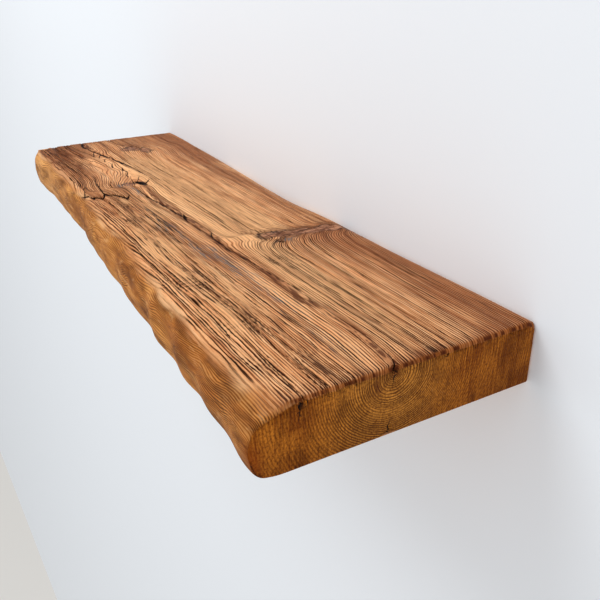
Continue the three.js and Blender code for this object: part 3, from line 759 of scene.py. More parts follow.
# How dark (above 0) or pale (below 0) the top is, as patches: [change, (from, to, fade) along the
# plank, the same across it]; as bands: [change, (middle, half width) across, run along]; as spots.
OPEN = 9999
EVERYWHERE = (-OPEN, OPEN, 1)
TONE_PATCHES = [
    (0.85, EVERYWHERE, (-48.5, OPEN, 26.5)), (0.4, (230, OPEN, 110), (-85, OPEN, 25)),
    (0.3, (-OPEN, -335, 35), EVERYWHERE), (-0.6, (-110, 100, 25), (-138, -96, 8)),
    (0.4, (-300, -190, 25), (-82.5, OPEN, 12.5)), (0.15, (-OPEN, -315, 25), EVERYWHERE),
    (-0.45, (115, 385, 20), (-137, -98, 8)), (-0.3, (-110, 20, 20), (-182, -155, 8)),
    (0.15, (-OPEN, -305, 15), (-OPEN, -147.5, 7.5)), (0.4, (-400, -300, 12), (-OPEN, -150, 10)),
    (-0.55, (-30, 280, 20), (-137, -97, 8)), (-0.5, (-10, 115, 20), (-137, -52, 8)),
    (-0.5, (-190, 115, 30), (-52, OPEN, 10)), (-0.35, (-40, 110, 20), (-OPEN, -187.5, 7.5)),
    (-0.3, (-110, 10, 20), (-182, -155, 8)),
]
TONE_BANDS = [
    (-0.85, (-114, 22), (130, 370, 30)), (-0.5, (-205, 30), (20, OPEN, 40)),
    (-0.4, (-163, 14), (200, 385, 30)), (0.45, (-200, 30), (-OPEN, -60, 100)),
]
TONE_SPOTS = [
    (0.55, (165, -50), (45, 42)), (0.35, (150, -165), (50, 18)), (-0.9, (-80, -187), (17, 5)),
    (-0.2, (-240, -160), (60, 20)),
]
tone = 0.35 * drift(53, x / 120, y / 40) + 0.3 * drift(54, x / 45, y / 14)
for change, along_plank_run, across_run in TONE_PATCHES:
    tone = tone + change * window(*along_plank_run, x) * window(*across_run, y)
for change, (middle, half), along_plank_run in TONE_BANDS:
    tone = tone + change * np.exp(-(((y - middle) / half) ** 2)) * window(*along_plank_run, x)
tone = tone + spots(x, y, TONE_SPOTS) + 0.5 * smooth(383, 398, np.abs(x))
tone = tone - window(-138, -62, 10, y) * window(-270, 98, 40, x) * (1 - 0.7 * smooth(-100, -62, y))
tone = tone - 0.5 * window(-110, 98, 25, x) * window(-135, -52, 8, y) * (1 - 0.3 * smooth(-95, -70, y))
tone = tone - 0.7 * calm_share(x, y) + 0.15 * front * drift(15, x / 75, y / 12)

# Brown stains in the near end and in spots on the top; round the pith, a brown ribbon that is
# partly painted shadow; a burnt reddish front corner at the near end; and the charred parts of the
# knots.
END_STAINS = [(1, (-161, 17), (7, 12)), (0.7, (-105, 7), (5, 4))]
TOP_STAINS = [
    (0.9, (-336, -187), (12, 4)), (0.9, (-315, -217), (13, 3)), (0.9, (-356, -220), (11, 3)),
    (0.9, (-255, -189), (22, 4)), (0.9, (-170, -37), (16, 3)), (0.9, (250, -101), (10, 2)),
]
CHARRED = [
    (0.75, (-299, -74), (9, 7)), (0.8, (-148, -143), (10, 4)), (0.6, (-134, -133), (6, 3)),
    (0.8, (-308, -79), (18, 6)), (0.5, (-334, -92), (12, 4)), (0.5, (-138, -141), (17, 7)),
]
# The ribbon along the pith: brown band, partly painted shadow under the ridge beside it.
reddish = (1 - smooth(0.7, 1.6, off_ribbon)) * (z > 20) * (1.05 + 0.5 * drift(57, x / 15, y / 3))
stain = spots(y, z, END_STAINS) * (x > LENGTH / 2 - 1) + reddish * ribbon_strength
stain = stain + spots(x, y, TOP_STAINS) * top_share
glow = spot(y, z, (-267, -12), (8, 19)) * smooth(388, 400, x)
char = spots(x, y, CHARRED, ragged) + 0.5 * spot(x, y, (133, -88), (3, 3))

# Everything that the finish is going to need at each point.
for name, values in {
    "rings": rings,
    "ring_rate": ring_rate,
    "groove": groove * (top_share + 0.35 * edge_share + 0.3 * end_share),
    "crack": crack,
    "crack_width": crack_width,
    "knot": knots * (top_share > 0.02),
    "blueing": np.clip(blueing, 0, 1.8) * top_share,
    "tone": tone,
    "stain": np.clip(stain, 0, 1.4),
    "glow": glow,
    "arris": smooth(0.0, 0.35, eased) * (1 - smooth(0.9, 1.0, eased)) * (z > 0),
    "hole_shade_and_char": np.clip(1 - hole / 8.5 + char, 0, 1) * (top_share > 0.02),
    "bark": bark,
    "bark_rate": bark_rate,
    "smooth_back": back * top_share,
    "brushed": top_share,
    "waney": edge_share,
    "sawn_end": end_share,
}.items():
    layer = plank_mesh.attributes.new(name, "FLOAT", "POINT")
    layer.data.foreach_set("value", values.astype(np.float32))

plank = bpy.data.objects.new("plank_board", plank_mesh)
bpy.context.scene.collection.objects.link(plank)
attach(plank, "shelf")
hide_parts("plank")


# Plank, its finish. Waxed softwood: tan ridges with a painted highlight along them and dark brushed
# grooves on the top, their darkness partly dirt and wax and partly painted shade; a smooth
# orange-brown waney edge with a painted highlight on its shoulder; and darker oiled end grain where
# the saw cut it, the end's darkness partly painted shade.
class Wire:
    """A node's output, on which Python's arithmetic adds Math nodes."""

    def __init__(self, graph, socket):
        self.graph, self.socket = graph, socket

    def math(self, operation, *others):
        """This value put through a Math node, as the first of its inputs."""
        return self.graph.math(operation, self, *others)

    def __add__(self, other):
        return self.math("ADD", other)

    def __sub__(self, other):
        return self.math("SUBTRACT", other)

    def __rsub__(self, other):
        return self.graph.math("SUBTRACT", other, self)

    def __mul__(self, other):
        return self.math("MULTIPLY", other)

    def __truediv__(self, other):
        return self.math("DIVIDE", other)

    def __pow__(self, other):
        return self.math("POWER", other)

    __radd__, __rmul__ = __add__, __mul__

    def size(self):
        """The value without its sign."""
        return self.math("ABSOLUTE")

    def linear(self, low, high, start=0.0, stop=1.0):
        """A straight run from start to stop as this value goes from low to high."""
        inputs = {"Value": self, 1: low, 2: high, 3: start, 4: stop}
        return self.graph.node("ShaderNodeMapRange", None, inputs)

    def over(self, low, high, start=0.0, stop=1.0):
        """An eased run from start to stop as this value goes from low to high."""
        return self.graph.node(
            "ShaderNodeMapRange",
            {"interpolation_type": "SMOOTHSTEP"},
            {"Value": self, 1: low, 2: high, 3: start, 4: stop},
        )


class Graph:
    """A node tree of either kind, to which nodes are added one by one."""

    def __init__(self, tree):
        self.tree = tree

    def node(self, kind, settings=None, inputs=None, output=0):
        """Adds a node, sets it up, joins its inputs and returns one of its outputs."""
        made = self.tree.nodes.new(kind)
        for name, value in (settings or {}).items():
            setattr(made, name, value)
        for key, value in (inputs or {}).items():
            if isinstance(value, Wire):
                self.tree.links.new(value.socket, made.inputs[key])
            else:
                made.inputs[key].default_value = value
        return Wire(self, made.outputs[output])

    def math(self, operation, *values):
        """A Math node's output, from values or other outputs."""
        return self.node("ShaderNodeMath", {"operation": operation}, dict(enumerate(values)))

    def vector(self, x, y, z):
        """Three values as one vector."""
        return self.node("ShaderNodeCombineXYZ", None, {0: x, 1: y, 2: z})

    def parts(self, vector):
        """One vector as its three values."""
        return [self.node("ShaderNodeSeparateXYZ", None, {0: vector}, output=k) for k in range(3)]


class Finish(Graph):
    """One procedural material and the nodes in it."""

    def __init__(self, name, **constants):
        self.material = bpy.data.materials.new(name)
        self.material.use_nodes = True
        super().__init__(self.material.node_tree)
        self.shader = self.tree.nodes["Principled BSDF"]
        for socket, value in constants.items():
            self.shader.inputs[socket.replace("_", " ")].default_value = value

    def attribute(self, name):
        """What the mesh holds at each point under this name."""
        return self.node("ShaderNodeAttribute", {"attribute_name": name}, output="Fac")

    def axes(self):
        """The place on the piece, in metres: x, y and z."""
        return self.parts(self.node("ShaderNodeTexCoord", output="Object"))

    def noise(self, x, y, z, detail=2.0, roughness=0.5, distortion=0.0):
        """Cloudy noise, about 0.5 on average, at a place whose axes are already scaled."""
        inputs = {"Vector": self.vector(x, y, z), "Scale": 1.0, "Detail": detail}
        inputs |= {"Roughness": roughness, "Distortion": distortion}
        return self.node("ShaderNodeTexNoise", None, inputs)

    def mix(self, share, under, over):
        """One colour where the share is 0, the other where it is 1."""
        inputs = {0: share, 6: under, 7: over}
        return self.node("ShaderNodeMix", {"data_type": "RGBA"}, inputs, output=2)

    def coats(self, colour, *coats):
        """A colour under further coats: [share that covers, hex code of its colour]."""
        for share, code in coats:
            colour = self.mix(share, colour, paint(code))
        return colour

    def ramp(self, value, *stops):
        """A colour that changes with the value, through stops: [value, hex code]."""
        colour = self.node("ShaderNodeValToRGB", None, {0: value})
        elements = colour.socket.node.color_ramp.elements
        for _ in range(len(stops) - 2):
            elements.new(0.5)
        for element, (position, code) in zip(elements, stops):
            element.position, element.color = position, paint(code)
        return colour

    def bump(self, strength, distance, height):
        """Fine relief that only bends the light, its distance in metres."""
        inputs = {"Strength": strength, "Distance": distance, "Height": height}
        return self.node("ShaderNodeBump", None, inputs)

    def feed(self, **sockets):
        """Joins values to the shader's sockets, spaces in their names written as underscores."""
        for name, value in sockets.items():
            self.tree.links.new(value.socket, self.shader.inputs[name.replace("_", " ")])


def paint(code):
    """A linear colour from a hex code such as c98f5e."""
    parts = [int(code[k : k + 2], 16) / 255 for k in (0, 2, 4)]
    return tuple(p / 12.92 if p <= 0.04045 else ((p + 0.055) / 1.055) ** 2.4 for p in parts) + (1.0,)


wood = Finish("waxed_softwood", Roughness=0.6, Specular_IOR_Level=0.06)
x_at, y_at, z_at = wood.axes()
groove_at, tone_at, knot_at = (wood.attribute(n) for n in ("groove", "tone", "knot"))
brushed, waney, sawn = (wood.attribute(n) for n in ("brushed", "waney", "sawn_end"))
smooth_back, arris_at = wood.attribute("smooth_back"), wood.attribute("arris")

# Lines, fibres and pores that follow the growth rings, and noise that doesn't.
in_front = y_at.over(-0.2, -0.155, 1.0, 0.0)
waver = wood.noise(x_at * 42, y_at * 130, z_at * 60) - 0.5
ring_count = wood.attribute("rings") + waver * (in_front * 0.35 + 0.35) * brushed
nearest_ring = ring_count.math("ROUND")
off_ring = ((ring_count + 0.5).math("FRACT") - 0.5).size() / wood.attribute("ring_rate")
fibre = wood.noise(x_at * 20, ring_count * 2.3, z_at * 300 + y_at * 60, 4.0, 0.62)
band = wood.noise(x_at * 7, ring_count * 0.42, 1.3)
streak = wood.noise(x_at * 17, ring_count * 1.25, 5.1, 3.0, 0.6)
thread = wood.noise(x_at * 42, ring_count * 4.1, 8.7, 3.0, 0.65)
pore = wood.noise(x_at * 95, ring_count * 9.0, 2.9, 2.0, 0.6)
own = wood.noise(x_at * 9, nearest_ring * 7.77, 0.0, 3.0, 0.7)
hair = wood.noise(x_at * 40, y_at * 1500, z_at * 1500, 3.0, 0.6)
cloud = wood.noise(x_at * 9, y_at * 34, z_at * 34, 3.0, 0.55)
thin = 1 - off_ring.over(0.2, own * 0.9 + 0.4)
wide = 1 - off_ring.over(groove_at * 0.22 + 0.12, groove_at * 0.5 + 0.42)
dark_line = wide * groove_at.over(0.3, 1.0)

# The top: tan wood between the rings, with a painted highlight on the ridges, under thin lines,
# dark grooves whose darkness is partly dirt and wax and partly painted shade, ticks and gashes.
pale = 1 - tone_at.over(-1.3, -0.25)
shade = (band * 0.32 + streak * 0.3 + thread * 0.38 - 0.5) * 1.45 + 0.5
ridge = wood.ramp(
    shade, (0.3, "86451f"), (0.42, "d58a56"), (0.5, "eaa871"), (0.6, "f3b582"), (0.72, "f9c894")
)
# Painted highlight: the ridge tops between the ring lines are lightened, as where the ridges catch the
# light.
between = off_ring.over(0.55, 1.1)
thin_share = thin * own.over(0.3, 0.6, 0.35, 1.0) * (1 + smooth_back * 0.1) * (1 - pale * 0.4)
thin_share = thin_share * groove_at.over(0.1, 0.5, 0.62, 1.0)
top_colour = wood.coats(
    ridge,
    (tone_at.over(-0.3, 1.1, 0.0, 0.85), "8d4922"),
    (pale * 0.58, "f2bb84"),
    (between * 0.2 + between * groove_at.over(0.35, 1.0) * 0.05, "f2bf8c"),
    (thin_share * 0.87, "4e230f"),
)
# The grooves' dark colour is partly dirt and wax lodged in them and partly painted shade.
groove_dirt_and_shade = wood.mix(groove_at.over(0.45, 1.1), paint("4b2411"), paint("1c0b06"))
top_colour = wood.mix(dark_line * 0.95, top_colour, groove_dirt_and_shade)
tick = wood.noise(x_at * 34, ring_count * 2.1, 6.6, 3.0, 0.55)
tick_share = tick.over(0.54, 0.61, 0.0, 0.85) * (1 - off_ring.over(0.35, 1.0))
top_colour = wood.coats(
    top_colour,
    (tick_share * (1 - pale * 0.4), "3f2012"),
    (pore.over(0.6, 0.72, 0.0, 0.6), "55301b"),
    (hair.over(0.52, 0.72, 0.0, 0.25), "7d4622"),
)
gash = wood.noise(x_at * 10, nearest_ring * 3.71, 4.4, 3.0, 0.68)
gash_width = in_front * 0.3 + gash.over(0.54, 0.72, 0.35, 0.75)
gash_share = gash.over(0.54, 0.6) * (1 - off_ring.over(gash_width * 0.5, gash_width * 1.3))
gash_share = gash_share * (in_front * 0.42 + 0.5) * (1 - smooth_back * 0.35)
gash_colour = wood.mix(gash.over(0.58, 0.7), paint("4a2413"), paint("26100a"))
top_colour = wood.mix(gash_share, top_colour, gash_colour)

# Still the top: its blue stain, its knots and the worn arris at each end.
blue_dash = wood.noise(x_at * 75, ring_count * 1.4, 9.4).over(0.48, 0.58)
blue_share = 0.1 + (dark_line * 0.4 + thin * 0.5 + 0.3) * (blue_dash + 0.1)
blue_share = (wood.attribute("blueing") * blue_share).over(0.0, 0.85, 0.0, 0.95)
top_colour = wood.mix(blue_share, top_colour, paint("42565f"))
knot_grain = wood.noise(x_at * 260, y_at * 60, z_at * 90, 5.0, 0.65, 1.2)
splinter = wood.noise(x_at * 150, y_at * 45, 3.3, 3.0, 0.6)
knot_shade = knot_grain * 0.6 + thread * 0.25 + splinter * 0.15
knot_colour = wood.ramp(knot_shade, (0.42, "24100b"), (0.48, "6e3f2c"), (0.56, "b98465"))
knot_rim = knot_at.over(0.02, 0.3) * (1 - knot_at.over(0.3, 0.65))
notch = wood.noise(0.0, y_at * 260, 1.7)
top_colour = wood.coats(
    wood.mix(knot_at.over(0.05, 0.75, 0.0, 0.85), top_colour, knot_colour),
    (knot_rim * splinter.over(0.4, 0.6, 0.35, 1.0), "2a150f"),
    (arris_at * 0.7, "b0642a"),
    (arris_at * notch.over(0.4, 0.6, 0.1, 0.95), "4c1d08"),
)

# The waney edge, paler to the left, with its contour lines, blotches and crevices.
off_bark = (wood.attribute("bark").math("FRACT") - 0.5).size() / wood.attribute("bark_rate")
patchy = wood.noise(x_at * 28, y_at * 40, z_at * 60, 3.0, 0.6)
edge_line = (1 - off_bark.over(0.15, 0.7)) * patchy.over(0.36, 0.6, 0.3, 1.0)
edge_light = off_bark.over(0.5, 0.85) * patchy.over(0.4, 0.62, 0.6, 0.1)
blotch = wood.noise(x_at * 16, y_at * 40, z_at * 52, 4.0, 0.6)
crevice = wood.noise(x_at * 30, y_at * 120, z_at * 170, 4.0, 0.62)
burnt = wood.attribute("glow") * cloud.over(0.35, 0.6, 0.5, 1.0) * 0.8
edge_colour = wood.coats(
    wood.ramp(cloud * 0.55 + fibre * 0.45, (0.34, "8a4c1a"), (0.48, "bb7433"), (0.64, "e09c50")),
    (x_at.over(-0.39, -0.12, 0.7, 0.0), "e6a765"),
    (x_at.over(0.0, 0.3, 0.0, 0.4), "a4581c"),
    (blotch.over(0.5, 0.64, 0.0, 0.65), "6f3d16"),
    (edge_light * 0.4, "e8b873"),
    (edge_line * 0.85, "5c310f"),
    (edge_line * x_at.over(0.27, 0.36, 0.0, 0.5), "35180a"),
    (crevice.over(0.6, 0.7, 0.0, 0.55), "4a260d"),
    (crevice.over(0.32, 0.42, 0.3, 0.0), "ecb67a"),
    (hair.over(0.5, 0.72, 0.0, 0.3), "7c481c"),
    (burnt * 0.8, "7a2f08"),
)

# The sawn ends: the rings cut across, palest round the heart, with saw marks and grit. Their
# darker colour is partly oiled end grain and partly painted shade, the end facing away from the
# light; the colour also darkens towards the bottom and towards the wall.
end_line = 1 - off_ring.over(0.15, 0.8)
grit = wood.noise(x_at * 40, y_at * 620, z_at * 420, 4.0, 0.7)
saw_mark = wood.noise(x_at * 40, y_at * 520, z_at * 22, 3.0, 0.6)
mottle = wood.noise(x_at, y_at * 110, z_at * 75, 4.0, 0.6)
near_heart = (y_at + 0.15).size().over(0.015, 0.075, 1.0, 0.0)
round_heart = (y_at + 0.146).size().over(0.03, 0.1, 1.0, 0.62)
end_ring = end_line * (0.3 + patchy.over(0.35, 0.6, 0.0, 0.4) + near_heart * 0.15) * round_heart
end_shade = (cloud * 0.5 + saw_mark * 0.5).over(0.38, 0.62)
# A darker base than the top: partly the end grain's own colour, partly painted shade.
end_colour = wood.coats(
    wood.mix(end_shade, paint("83430c"), paint("cc7b26")),
    (near_heart * 0.6, "e49b42"),
    (z_at.over(-0.026, 0.004, 0.34, 0.0), "5c2c02"),
    (mottle.over(0.5, 0.64, 0.0, 0.36), "5a2e04"),
    (y_at.over(-0.075, -0.02, 0.0, 0.35), "6e3804"),
    (end_ring, "3c1200"),
    (grit.over(0.44, 0.64, 0.0, 0.66), "4c1700"),
    (burnt, "823405"),
)

# All of them together, then over the whole: stains and the pith ribbon with its painted shadow,
# painted shade in the crack gaps, and the charred knots with painted shade in their hole.
colour = wood.mix(brushed, wood.mix(thin * 0.4, ridge, paint("8a5432")), top_colour)
colour = wood.mix(waney, colour, edge_colour)
# Pale strip along the shoulder between the top and the waney edge: partly worn wax, partly a painted
# highlight where the shoulder catches the light.
shoulder_highlight_and_wax = (brushed * waney * 4 * cloud.over(0.46, 0.62, 0.0, 0.45)).math("MINIMUM", 0.6)
colour = wood.mix(shoulder_highlight_and_wax, colour, paint("f3c594"))
colour = wood.mix(sawn, colour, end_colour)
# Stains, and along the pith a ribbon that is partly painted shadow.
stain_and_shadow = (wood.attribute("stain") * thread.over(0.42, 0.56, 0.2, 1.0)).math("MINIMUM", 0.92)
# Painted shade: the crack gaps and the hole are coloured near black, as the shade inside them; the
# hole's attribute also holds the knots' own charred colour.
width_at = wood.attribute("crack_width")
gap = 1 - (wood.attribute("crack").size() / width_at.math("MAXIMUM", 0.05)).over(0.7, 1.25)
colour = wood.coats(
    colour,
    (stain_and_shadow, "55260f"),
    (gap * width_at.over(0.05, 0.5), "22110a"),
    (wood.attribute("hole_shade_and_char").over(0.1, 0.6), "180d09"),
)
raised = fibre * 0.4 + thread * 0.3 + hair * 0.2
sunk = dark_line * 0.9 + gash_share * 0.8 + thin * 0.45 + pore * 0.2 + edge_line * waney * 0.3
wood.feed(
    Base_Color=colour,
    Roughness=0.5 + fibre * 0.25 + dark_line * 0.15,
    Normal=wood.bump(0.8, 0.0008, raised - sunk),
)
plank.data.materials.append(wood.material)

# Wall plate. A flat bar of mild steel, drilled and countersunk for the screws and left raw behind
# the wood, with blued rings where the heat of the rods' welds went into it.
steel = Finish("raw_steel", Metallic=1.0, Roughness=0.42)
x_at, y_at, z_at = steel.axes()
rod_gap = (ROD_X[1] - ROD_X[0]) * MM
# The welds round the rods, with the ripples of their beads, and the rings of heat outside them.
RIPPLES, RIPPLE_LEAN = 22, 900
from_rod = x_at.math("WRAP", rod_gap, 0.0) - rod_gap / 2
from_axis = (from_rod * from_rod + z_at * z_at) ** 0.5
on_weld = from_axis.over(0.0068, 0.0074) * (1 - from_axis.over(0.0108, 0.0118))
on_weld = on_weld * y_at.over(-0.0105, -0.0055, 1.0, 0.0)
weld_ripple = (z_at.math("ARCTAN2", from_rod) * RIPPLES + from_axis * RIPPLE_LEAN).math("SINE")
heat = (1 - (from_axis - 0.0135).size().over(0.0, 0.0055)) * y_at.over(-0.03, -0.012)
mill = steel.noise(x_at * 60, y_at * 60, z_at * 60, 5.0, 0.6)
drawn = steel.noise(x_at * 900, y_at * 30, z_at * 900, 3.0, 0.55)
rolled = steel.noise(x_at * 26, y_at * 400, z_at * 700, 3.0, 0.55)
rust = steel.noise(x_at * 130, y_at * 130, z_at * 130, 6.0, 0.7)
steel_colour = steel.coats(
    steel.mix(mill.over(0.35, 0.7), paint("8b8e91"), paint("66696d")),
    (heat * 0.55, "6d5a6e"),
    (heat * mill.over(0.45, 0.6, 0.0, 0.5), "a0743a"),
    (on_weld * 0.7, "6f6c69"),
    (rust.over(0.62, 0.72, 0.0, 0.6), "6b3d22"),
)
steel_height = drawn * 0.5 + rolled * 0.3 + mill * 0.6 + on_weld * (weld_ripple * 1.6 + 1.0)
steel.feed(
    Base_Color=steel_colour,
    Roughness=0.3 + mill * 0.24 + drawn * 0.1 + rust.over(0.6, 0.72, 0.0, 0.3),
    Normal=steel.bump(0.35, 0.0003, steel_height),
)


def dress(node, finish):
    """Gives a piece carried over from the solid model its finish."""
    node.data.materials.clear()
    node.data.materials.append(finish.material)


dress(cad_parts["wall_plate"], steel)


# Rods. Four round steel bars, each shouldered, pushed through the plate and welded all round,
# with a chamfered tip that finds its bore.
class Builder(Graph):
    """A Geometry Nodes tree with named sizes, run once to make one plain mesh."""

    def __init__(self, name, **sizes):
        super().__init__(bpy.data.node_groups.new(name, "GeometryNodeTree"))
        self.name, self.sizes, self.ports = name, sizes, {}
        for label in sizes:
            port = self.tree.interface.new_socket(label, in_out="INPUT", socket_type="NodeSocketFloat")
            self.ports[label] = port.identifier
        self.tree.interface.new_socket("mesh", in_out="OUTPUT", socket_type="NodeSocketGeometry")
        self.entry = self.tree.nodes.new("NodeGroupInput")

    def size(self, label):
        """One of the tree's named sizes."""
        return Wire(self, self.entry.outputs[label])

    def round_bar(self, sides, steps, length, radius_at):
        """A closed bar up from z = 0, its radius given by a function of height and angle."""
        inputs = {"Vertices": sides, "Side Segments": steps, "Radius": 1.0, "Depth": length}
        bar = self.node("GeometryNodeMeshCylinder", None, inputs)
        x, y, z = self.parts(self.node("GeometryNodeInputPosition"))
        height = z + length * 0.5
        angle = y.math("ARCTAN2", x)
        radius = radius_at(height, angle) * (x * x + y * y) ** 0.5
        place = self.vector(angle.math("COSINE") * radius, angle.math("SINE") * radius, height)
        return self.node("GeometryNodeSetPosition", None, {"Geometry": bar, "Position": place})

    def moved(self, geometry, x, y, z, turn=0.0):
        """The geometry turned about X, then put in its place."""
        inputs = {"Geometry": geometry, "Translation": self.vector(x, y, z)}
        return self.node("GeometryNodeTransform", None, inputs | {"Rotation": (turn, 0.0, 0.0)})

    def row(self, count, x, instance):
        """The instance as often as count says, each at the x that its number gives."""
        line = self.node("GeometryNodeMeshLine", None, {"Count": count})
        inputs = {"Geometry": line, "Position": self.vector(x, 0.0, 0.0)}
        line = self.node("GeometryNodeSetPosition", None, inputs)
        return self.node("GeometryNodeInstanceOnPoints", None, {"Points": line, "Instance": instance})

    def finish(self, geometry, material):
        """The tree's result as a linked object with a plain mesh."""
        whole = self.node("GeometryNodeRealizeInstances", None, {0: geometry})
        dressed = self.node("GeometryNodeSetMaterial", None, {"Geometry": whole, "Material": material})
        leave = self.tree.nodes.new("NodeGroupOutput")
        self.tree.links.new(dressed.socket, leave.inputs[0])
        holder = bpy.data.objects.new("holder", bpy.data.meshes.new("holder"))
        bpy.context.scene.collection.objects.link(holder)
        run = holder.modifiers.new(self.name, "NODES")
        run.node_group = self.tree
        for label, value in self.sizes.items():
            run[self.ports[label]] = value
        result = holder.evaluated_get(bpy.context.evaluated_depsgraph_get())
        mesh = bpy.data.meshes.new_from_object(result)
        mesh.shade_smooth()
        mesh.set_sharp_from_angle(angle=np.radians(32))
        bpy.data.objects.remove(holder)
        made = bpy.data.objects.new(self.name, mesh)
        bpy.context.scene.collection.objects.link(made)
        return made


rods = Builder(
    "support_rod_set",
    spigot=5.0 * MM, radius=7.0 * MM, length=185.4 * MM, shoulder=5.4 * MM, weld=4.0 * MM,
    chamfer=2.0 * MM, foot=-0.6 * MM, rod_gap=rod_gap,
)
RIPPLE_HEIGHT = 0.12 * MM


def rod_radius(height, angle):
    """Spigot, weld bead, bar and chamfered tip."""
    spigot, bar, chamfer = (rods.size(label) for label in ("spigot", "radius", "chamfer"))
    past = (height - rods.size("shoulder")) / rods.size("weld")
    ripple = (angle * RIPPLES + height * RIPPLE_LEAN).math("SINE") * RIPPLE_HEIGHT
    bead = (rods.size("weld") + ripple) * past.linear(0.0, 1.0, 1.0, 0.0)
    tip = (chamfer - (rods.size("length") - height)).math("MAXIMUM", 0.0)
    return spigot + (bar - spigot + bead - tip) * past.over(-0.02, 0.0)


one_rod = rods.round_bar(40, 371, rods.size("length"), rod_radius)
one_rod = rods.moved(one_rod, 0.0, rods.size("foot"), 0.0, turn=np.pi / 2)
number = rods.node("GeometryNodeInputIndex")
row = rods.row(len(ROD_X), (number - 1.5) * rods.size("rod_gap"), one_rod)
rod_set = rods.finish(row, steel.material)
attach(rod_set, "wall_bracket")
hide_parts(*[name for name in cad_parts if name.startswith("support_rod")])

# Wall plugs. Eight plugs of moulded grey nylon, split and barbed as in the solid model. Only
# their finish is made here: a satin skin with the fine marks of its mould.
nylon = Finish("grey_nylon", Roughness=0.5)
x_at, y_at, z_at = nylon.axes()
cloudy = nylon.noise(x_at * 500, y_at * 180, z_at * 500, 4.0)
orange_peel = nylon.noise(x_at * 1600, y_at * 1600, z_at * 1600)
nylon.feed(
    Base_Color=nylon.mix(cloudy.over(0.35, 0.65), paint("80858a"), paint("999ea2")),
    Roughness=0.38 + cloudy * 0.25,
    Normal=nylon.bump(0.15, 0.0002, orange_peel),
)
for name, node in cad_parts.items():
    if name.startswith("wall_plug"):
        dress(node, nylon)

# Wall screws. Yellow passivated steel with a countersunk six-lobe head and a coarse rolled
# thread, one on each side of every rod.
zinc = Finish("yellow_zinc", Metallic=1.0, Roughness=0.32)
x_at, y_at, z_at = zinc.axes()
tint = zinc.noise(x_at * 200, y_at * 200, z_at * 200, 4.0)
rubbed = zinc.noise(x_at * 700, y_at * 120, z_at * 700, 3.0)
zinc_colour = zinc.mix(tint.over(0.3, 0.7), paint("b7923f"), paint("dcc684"))
zinc.feed(
    Base_Color=zinc.coats(zinc_colour, (rubbed.over(0.56, 0.68, 0.0, 0.6), "b9a0a4")),
    Roughness=0.24 + tint * 0.2,
    Normal=zinc.bump(0.2, 0.0002, rubbed),
)
screws = Builder(
    "wall_screw_set",
    core=2.15 * MM, crest=2.95 * MM, pitch=2.6 * MM, length=57.0 * MM, plain=14.0 * MM, taper=9.0 * MM,
    head=5.75 * MM, head_depth=3.2 * MM, drive=2.6 * MM, drive_depth=2.2 * MM,
    head_top=-5.6 * MM, from_rod=38.0 * MM, rod_gap=rod_gap,
)


def thread_radius(height, angle):
    """A plain neck, a coarse thread and a tapered point."""
    core, pitch, plain = (screws.size(label) for label in ("core", "pitch", "plain"))
    turn = height / pitch - angle / (2 * np.pi)
    flank = 1 - (turn.math("FRACT") - 0.5).size().over(0.06, 0.42)
    threaded = height.over(plain, plain + pitch)
    depth = screws.size("crest") - core
    point = ((screws.size("length") - height) / screws.size("taper")).math("MINIMUM", 1.0)
    return (core + (1 - threaded) * depth * 0.85 + depth * flank * threaded) * point


def lobed_radius(height, angle):
    """The six lobes of the drive."""
    return screws.size("drive") * (0.8 + 0.2 * (angle * 6).math("COSINE"))


def head_radius(height, angle):
    """The countersunk head, its rim upright."""
    share = height / screws.size("head_depth")
    return screws.size("head") - (screws.size("head") - screws.size("core")) * share.over(0.08, 1.0)


SOCKET_FLOOR = 0.4 * MM
drive_depth = screws.size("drive_depth")
shank = screws.round_bar(24, 200, screws.size("length"), thread_radius)
shank = screws.moved(shank, 0.0, 0.0, drive_depth + SOCKET_FLOOR)
blank = screws.round_bar(48, 10, screws.size("head_depth"), head_radius)
driver = screws.round_bar(48, 1, drive_depth * 2, lobed_radius)
driver = screws.moved(driver, 0.0, 0.0, drive_depth * -1)
cut = {"Mesh 1": blank, "Mesh 2": driver}
socketed = screws.node("GeometryNodeMeshBoolean", {"operation": "DIFFERENCE"}, cut)
join = screws.tree.nodes.new("GeometryNodeJoinGeometry")
for part in (shank, socketed):
    screws.tree.links.new(part.socket, join.inputs[0])
one_screw = Wire(screws, join.outputs[0])
one_screw = screws.moved(one_screw, 0.0, screws.size("head_top"), 0.0, turn=-np.pi / 2)
number = screws.node("GeometryNodeInputIndex")
rod_number = (number / 2).math("FLOOR")
side_of_rod = (number - rod_number * 2) * 2 - 1
screw_x = (rod_number - 1.5) * screws.size("rod_gap") + side_of_rod * screws.size("from_rod")
screw_set = screws.finish(screws.row(2 * len(ROD_X), screw_x, one_screw), zinc.material)
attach(screw_set, "wall_bracket")
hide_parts(*[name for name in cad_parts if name.startswith("wall_screw")])

# Floor, light and camera. A plain pale floor under the shelf, one broad soft lamp above and
# in front of it, and an even pale sky; the camera stands where the photo was taken from.
FLOOR_LEVEL, ROOM_REACH, WALL_GAP, WALL_TOP = -3.4, 9.0, 0.0006, 2.0
FLOOR_CORNERS = [(-1, -1), (1, -1), (1, 1), (-1, 1)]


def stage_sheet(name, corners, finish):
    """A flat sheet of the room, which is no part of the shelf."""
    mesh = bpy.data.meshes.new(name)
    mesh.from_pydata(corners, [], [(0, 1, 2, 3)])
    sheet = bpy.data.objects.new(name, mesh)
    bpy.context.scene.collection.objects.link(sheet)
    mesh.materials.append(finish.material)
    return sheet


ground = Finish("pale_floor", Roughness=0.9, Base_Color=paint("dedcd8"))
corners = [(x * ROOM_REACH, y * ROOM_REACH, FLOOR_LEVEL) for x, y in FLOOR_CORNERS]
stage_sheet("floor", corners, ground)

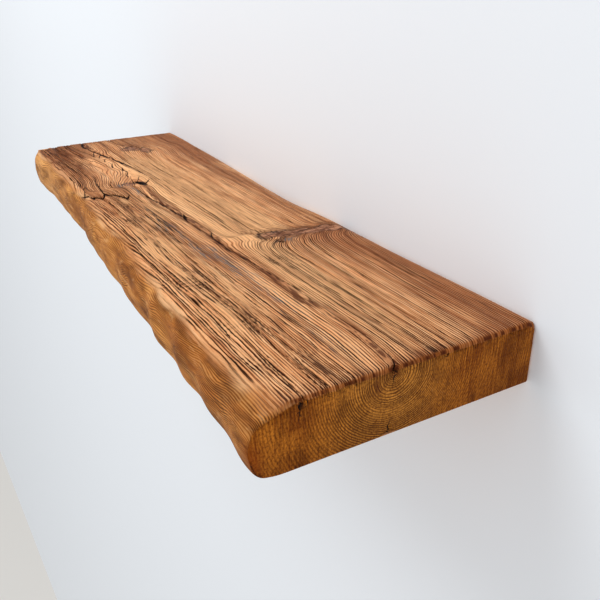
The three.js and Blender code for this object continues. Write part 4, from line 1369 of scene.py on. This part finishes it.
# The wall is drawn on its room side only, so that a view from behind shows the bracket.
plaster = Finish("pale_wall", Roughness=0.9, Base_Color=paint("ecf1f7"))
behind = plaster.node("ShaderNodeNewGeometry", output="Backfacing")
clear = plaster.node("ShaderNodeBsdfTransparent")
seen = Wire(plaster, plaster.shader.outputs[0])
one_sided = plaster.node("ShaderNodeMixShader", None, {0: behind, 1: seen, 2: clear})
plaster.tree.links.new(one_sided.socket, plaster.tree.nodes["Material Output"].inputs["Surface"])
heights = (FLOOR_LEVEL, FLOOR_LEVEL, WALL_TOP, WALL_TOP)
corners = [(x * ROOM_REACH, WALL_GAP, z) for (x, _), z in zip(FLOOR_CORNERS, heights)]
wall = stage_sheet("wall", corners, plaster)
wall.visible_diffuse = wall.visible_glossy = wall.visible_transmission = wall.visible_shadow = False

SKY_STRENGTH = 0.85
world = bpy.data.worlds.new("soft_room")
bpy.context.scene.world = world
world.use_nodes = True
sky = world.node_tree
background = sky.nodes["Background"]
background.inputs["Color"].default_value = (1, 1, 1, 1)
background.inputs["Strength"].default_value = SKY_STRENGTH

LAMP_PLACE, LAMP_TARGET = Vector((-0.9, -1.65, 2.3)), Vector((0, -0.12, 0))
LAMP_WIDTH, LAMP_POWER = 1.7, 38
lamp_data = bpy.data.lights.new("window_light", "AREA")
lamp_data.shape, lamp_data.size, lamp_data.energy = "DISK", LAMP_WIDTH, LAMP_POWER
lamp = bpy.data.objects.new("window_light", lamp_data)
lamp.location = LAMP_PLACE
lamp.rotation_euler = (LAMP_TARGET - LAMP_PLACE).to_track_quat("-Z", "Y").to_euler()
bpy.context.scene.collection.objects.link(lamp)

# As worked out from the photo's straight edges: azimuth, elevation and roll in degrees.
CAMERA_PLACE, CAMERA_ANGLES, CAMERA_LENS = (0.7646, -0.4475, 0.3058), (58.93, 25.43, 0.14), 44.43
camera_data = bpy.data.cameras.new("camera")
camera_data.sensor_width, camera_data.lens = 36, CAMERA_LENS
camera = bpy.data.objects.new("camera", camera_data)
bpy.context.scene.collection.objects.link(camera)
azimuth, elevation, roll = np.radians(CAMERA_ANGLES)
level, rise = np.cos(elevation), -np.sin(elevation)
forward = Vector((-np.sin(azimuth) * level, np.cos(azimuth) * level, rise))
camera.location = CAMERA_PLACE
camera.rotation_euler = forward.to_track_quat("-Z", "Y").to_euler()
camera.rotation_euler.rotate_axis("Z", roll)
bpy.context.scene.camera = camera
bpy.context.scene.view_settings.view_transform = "Standard"

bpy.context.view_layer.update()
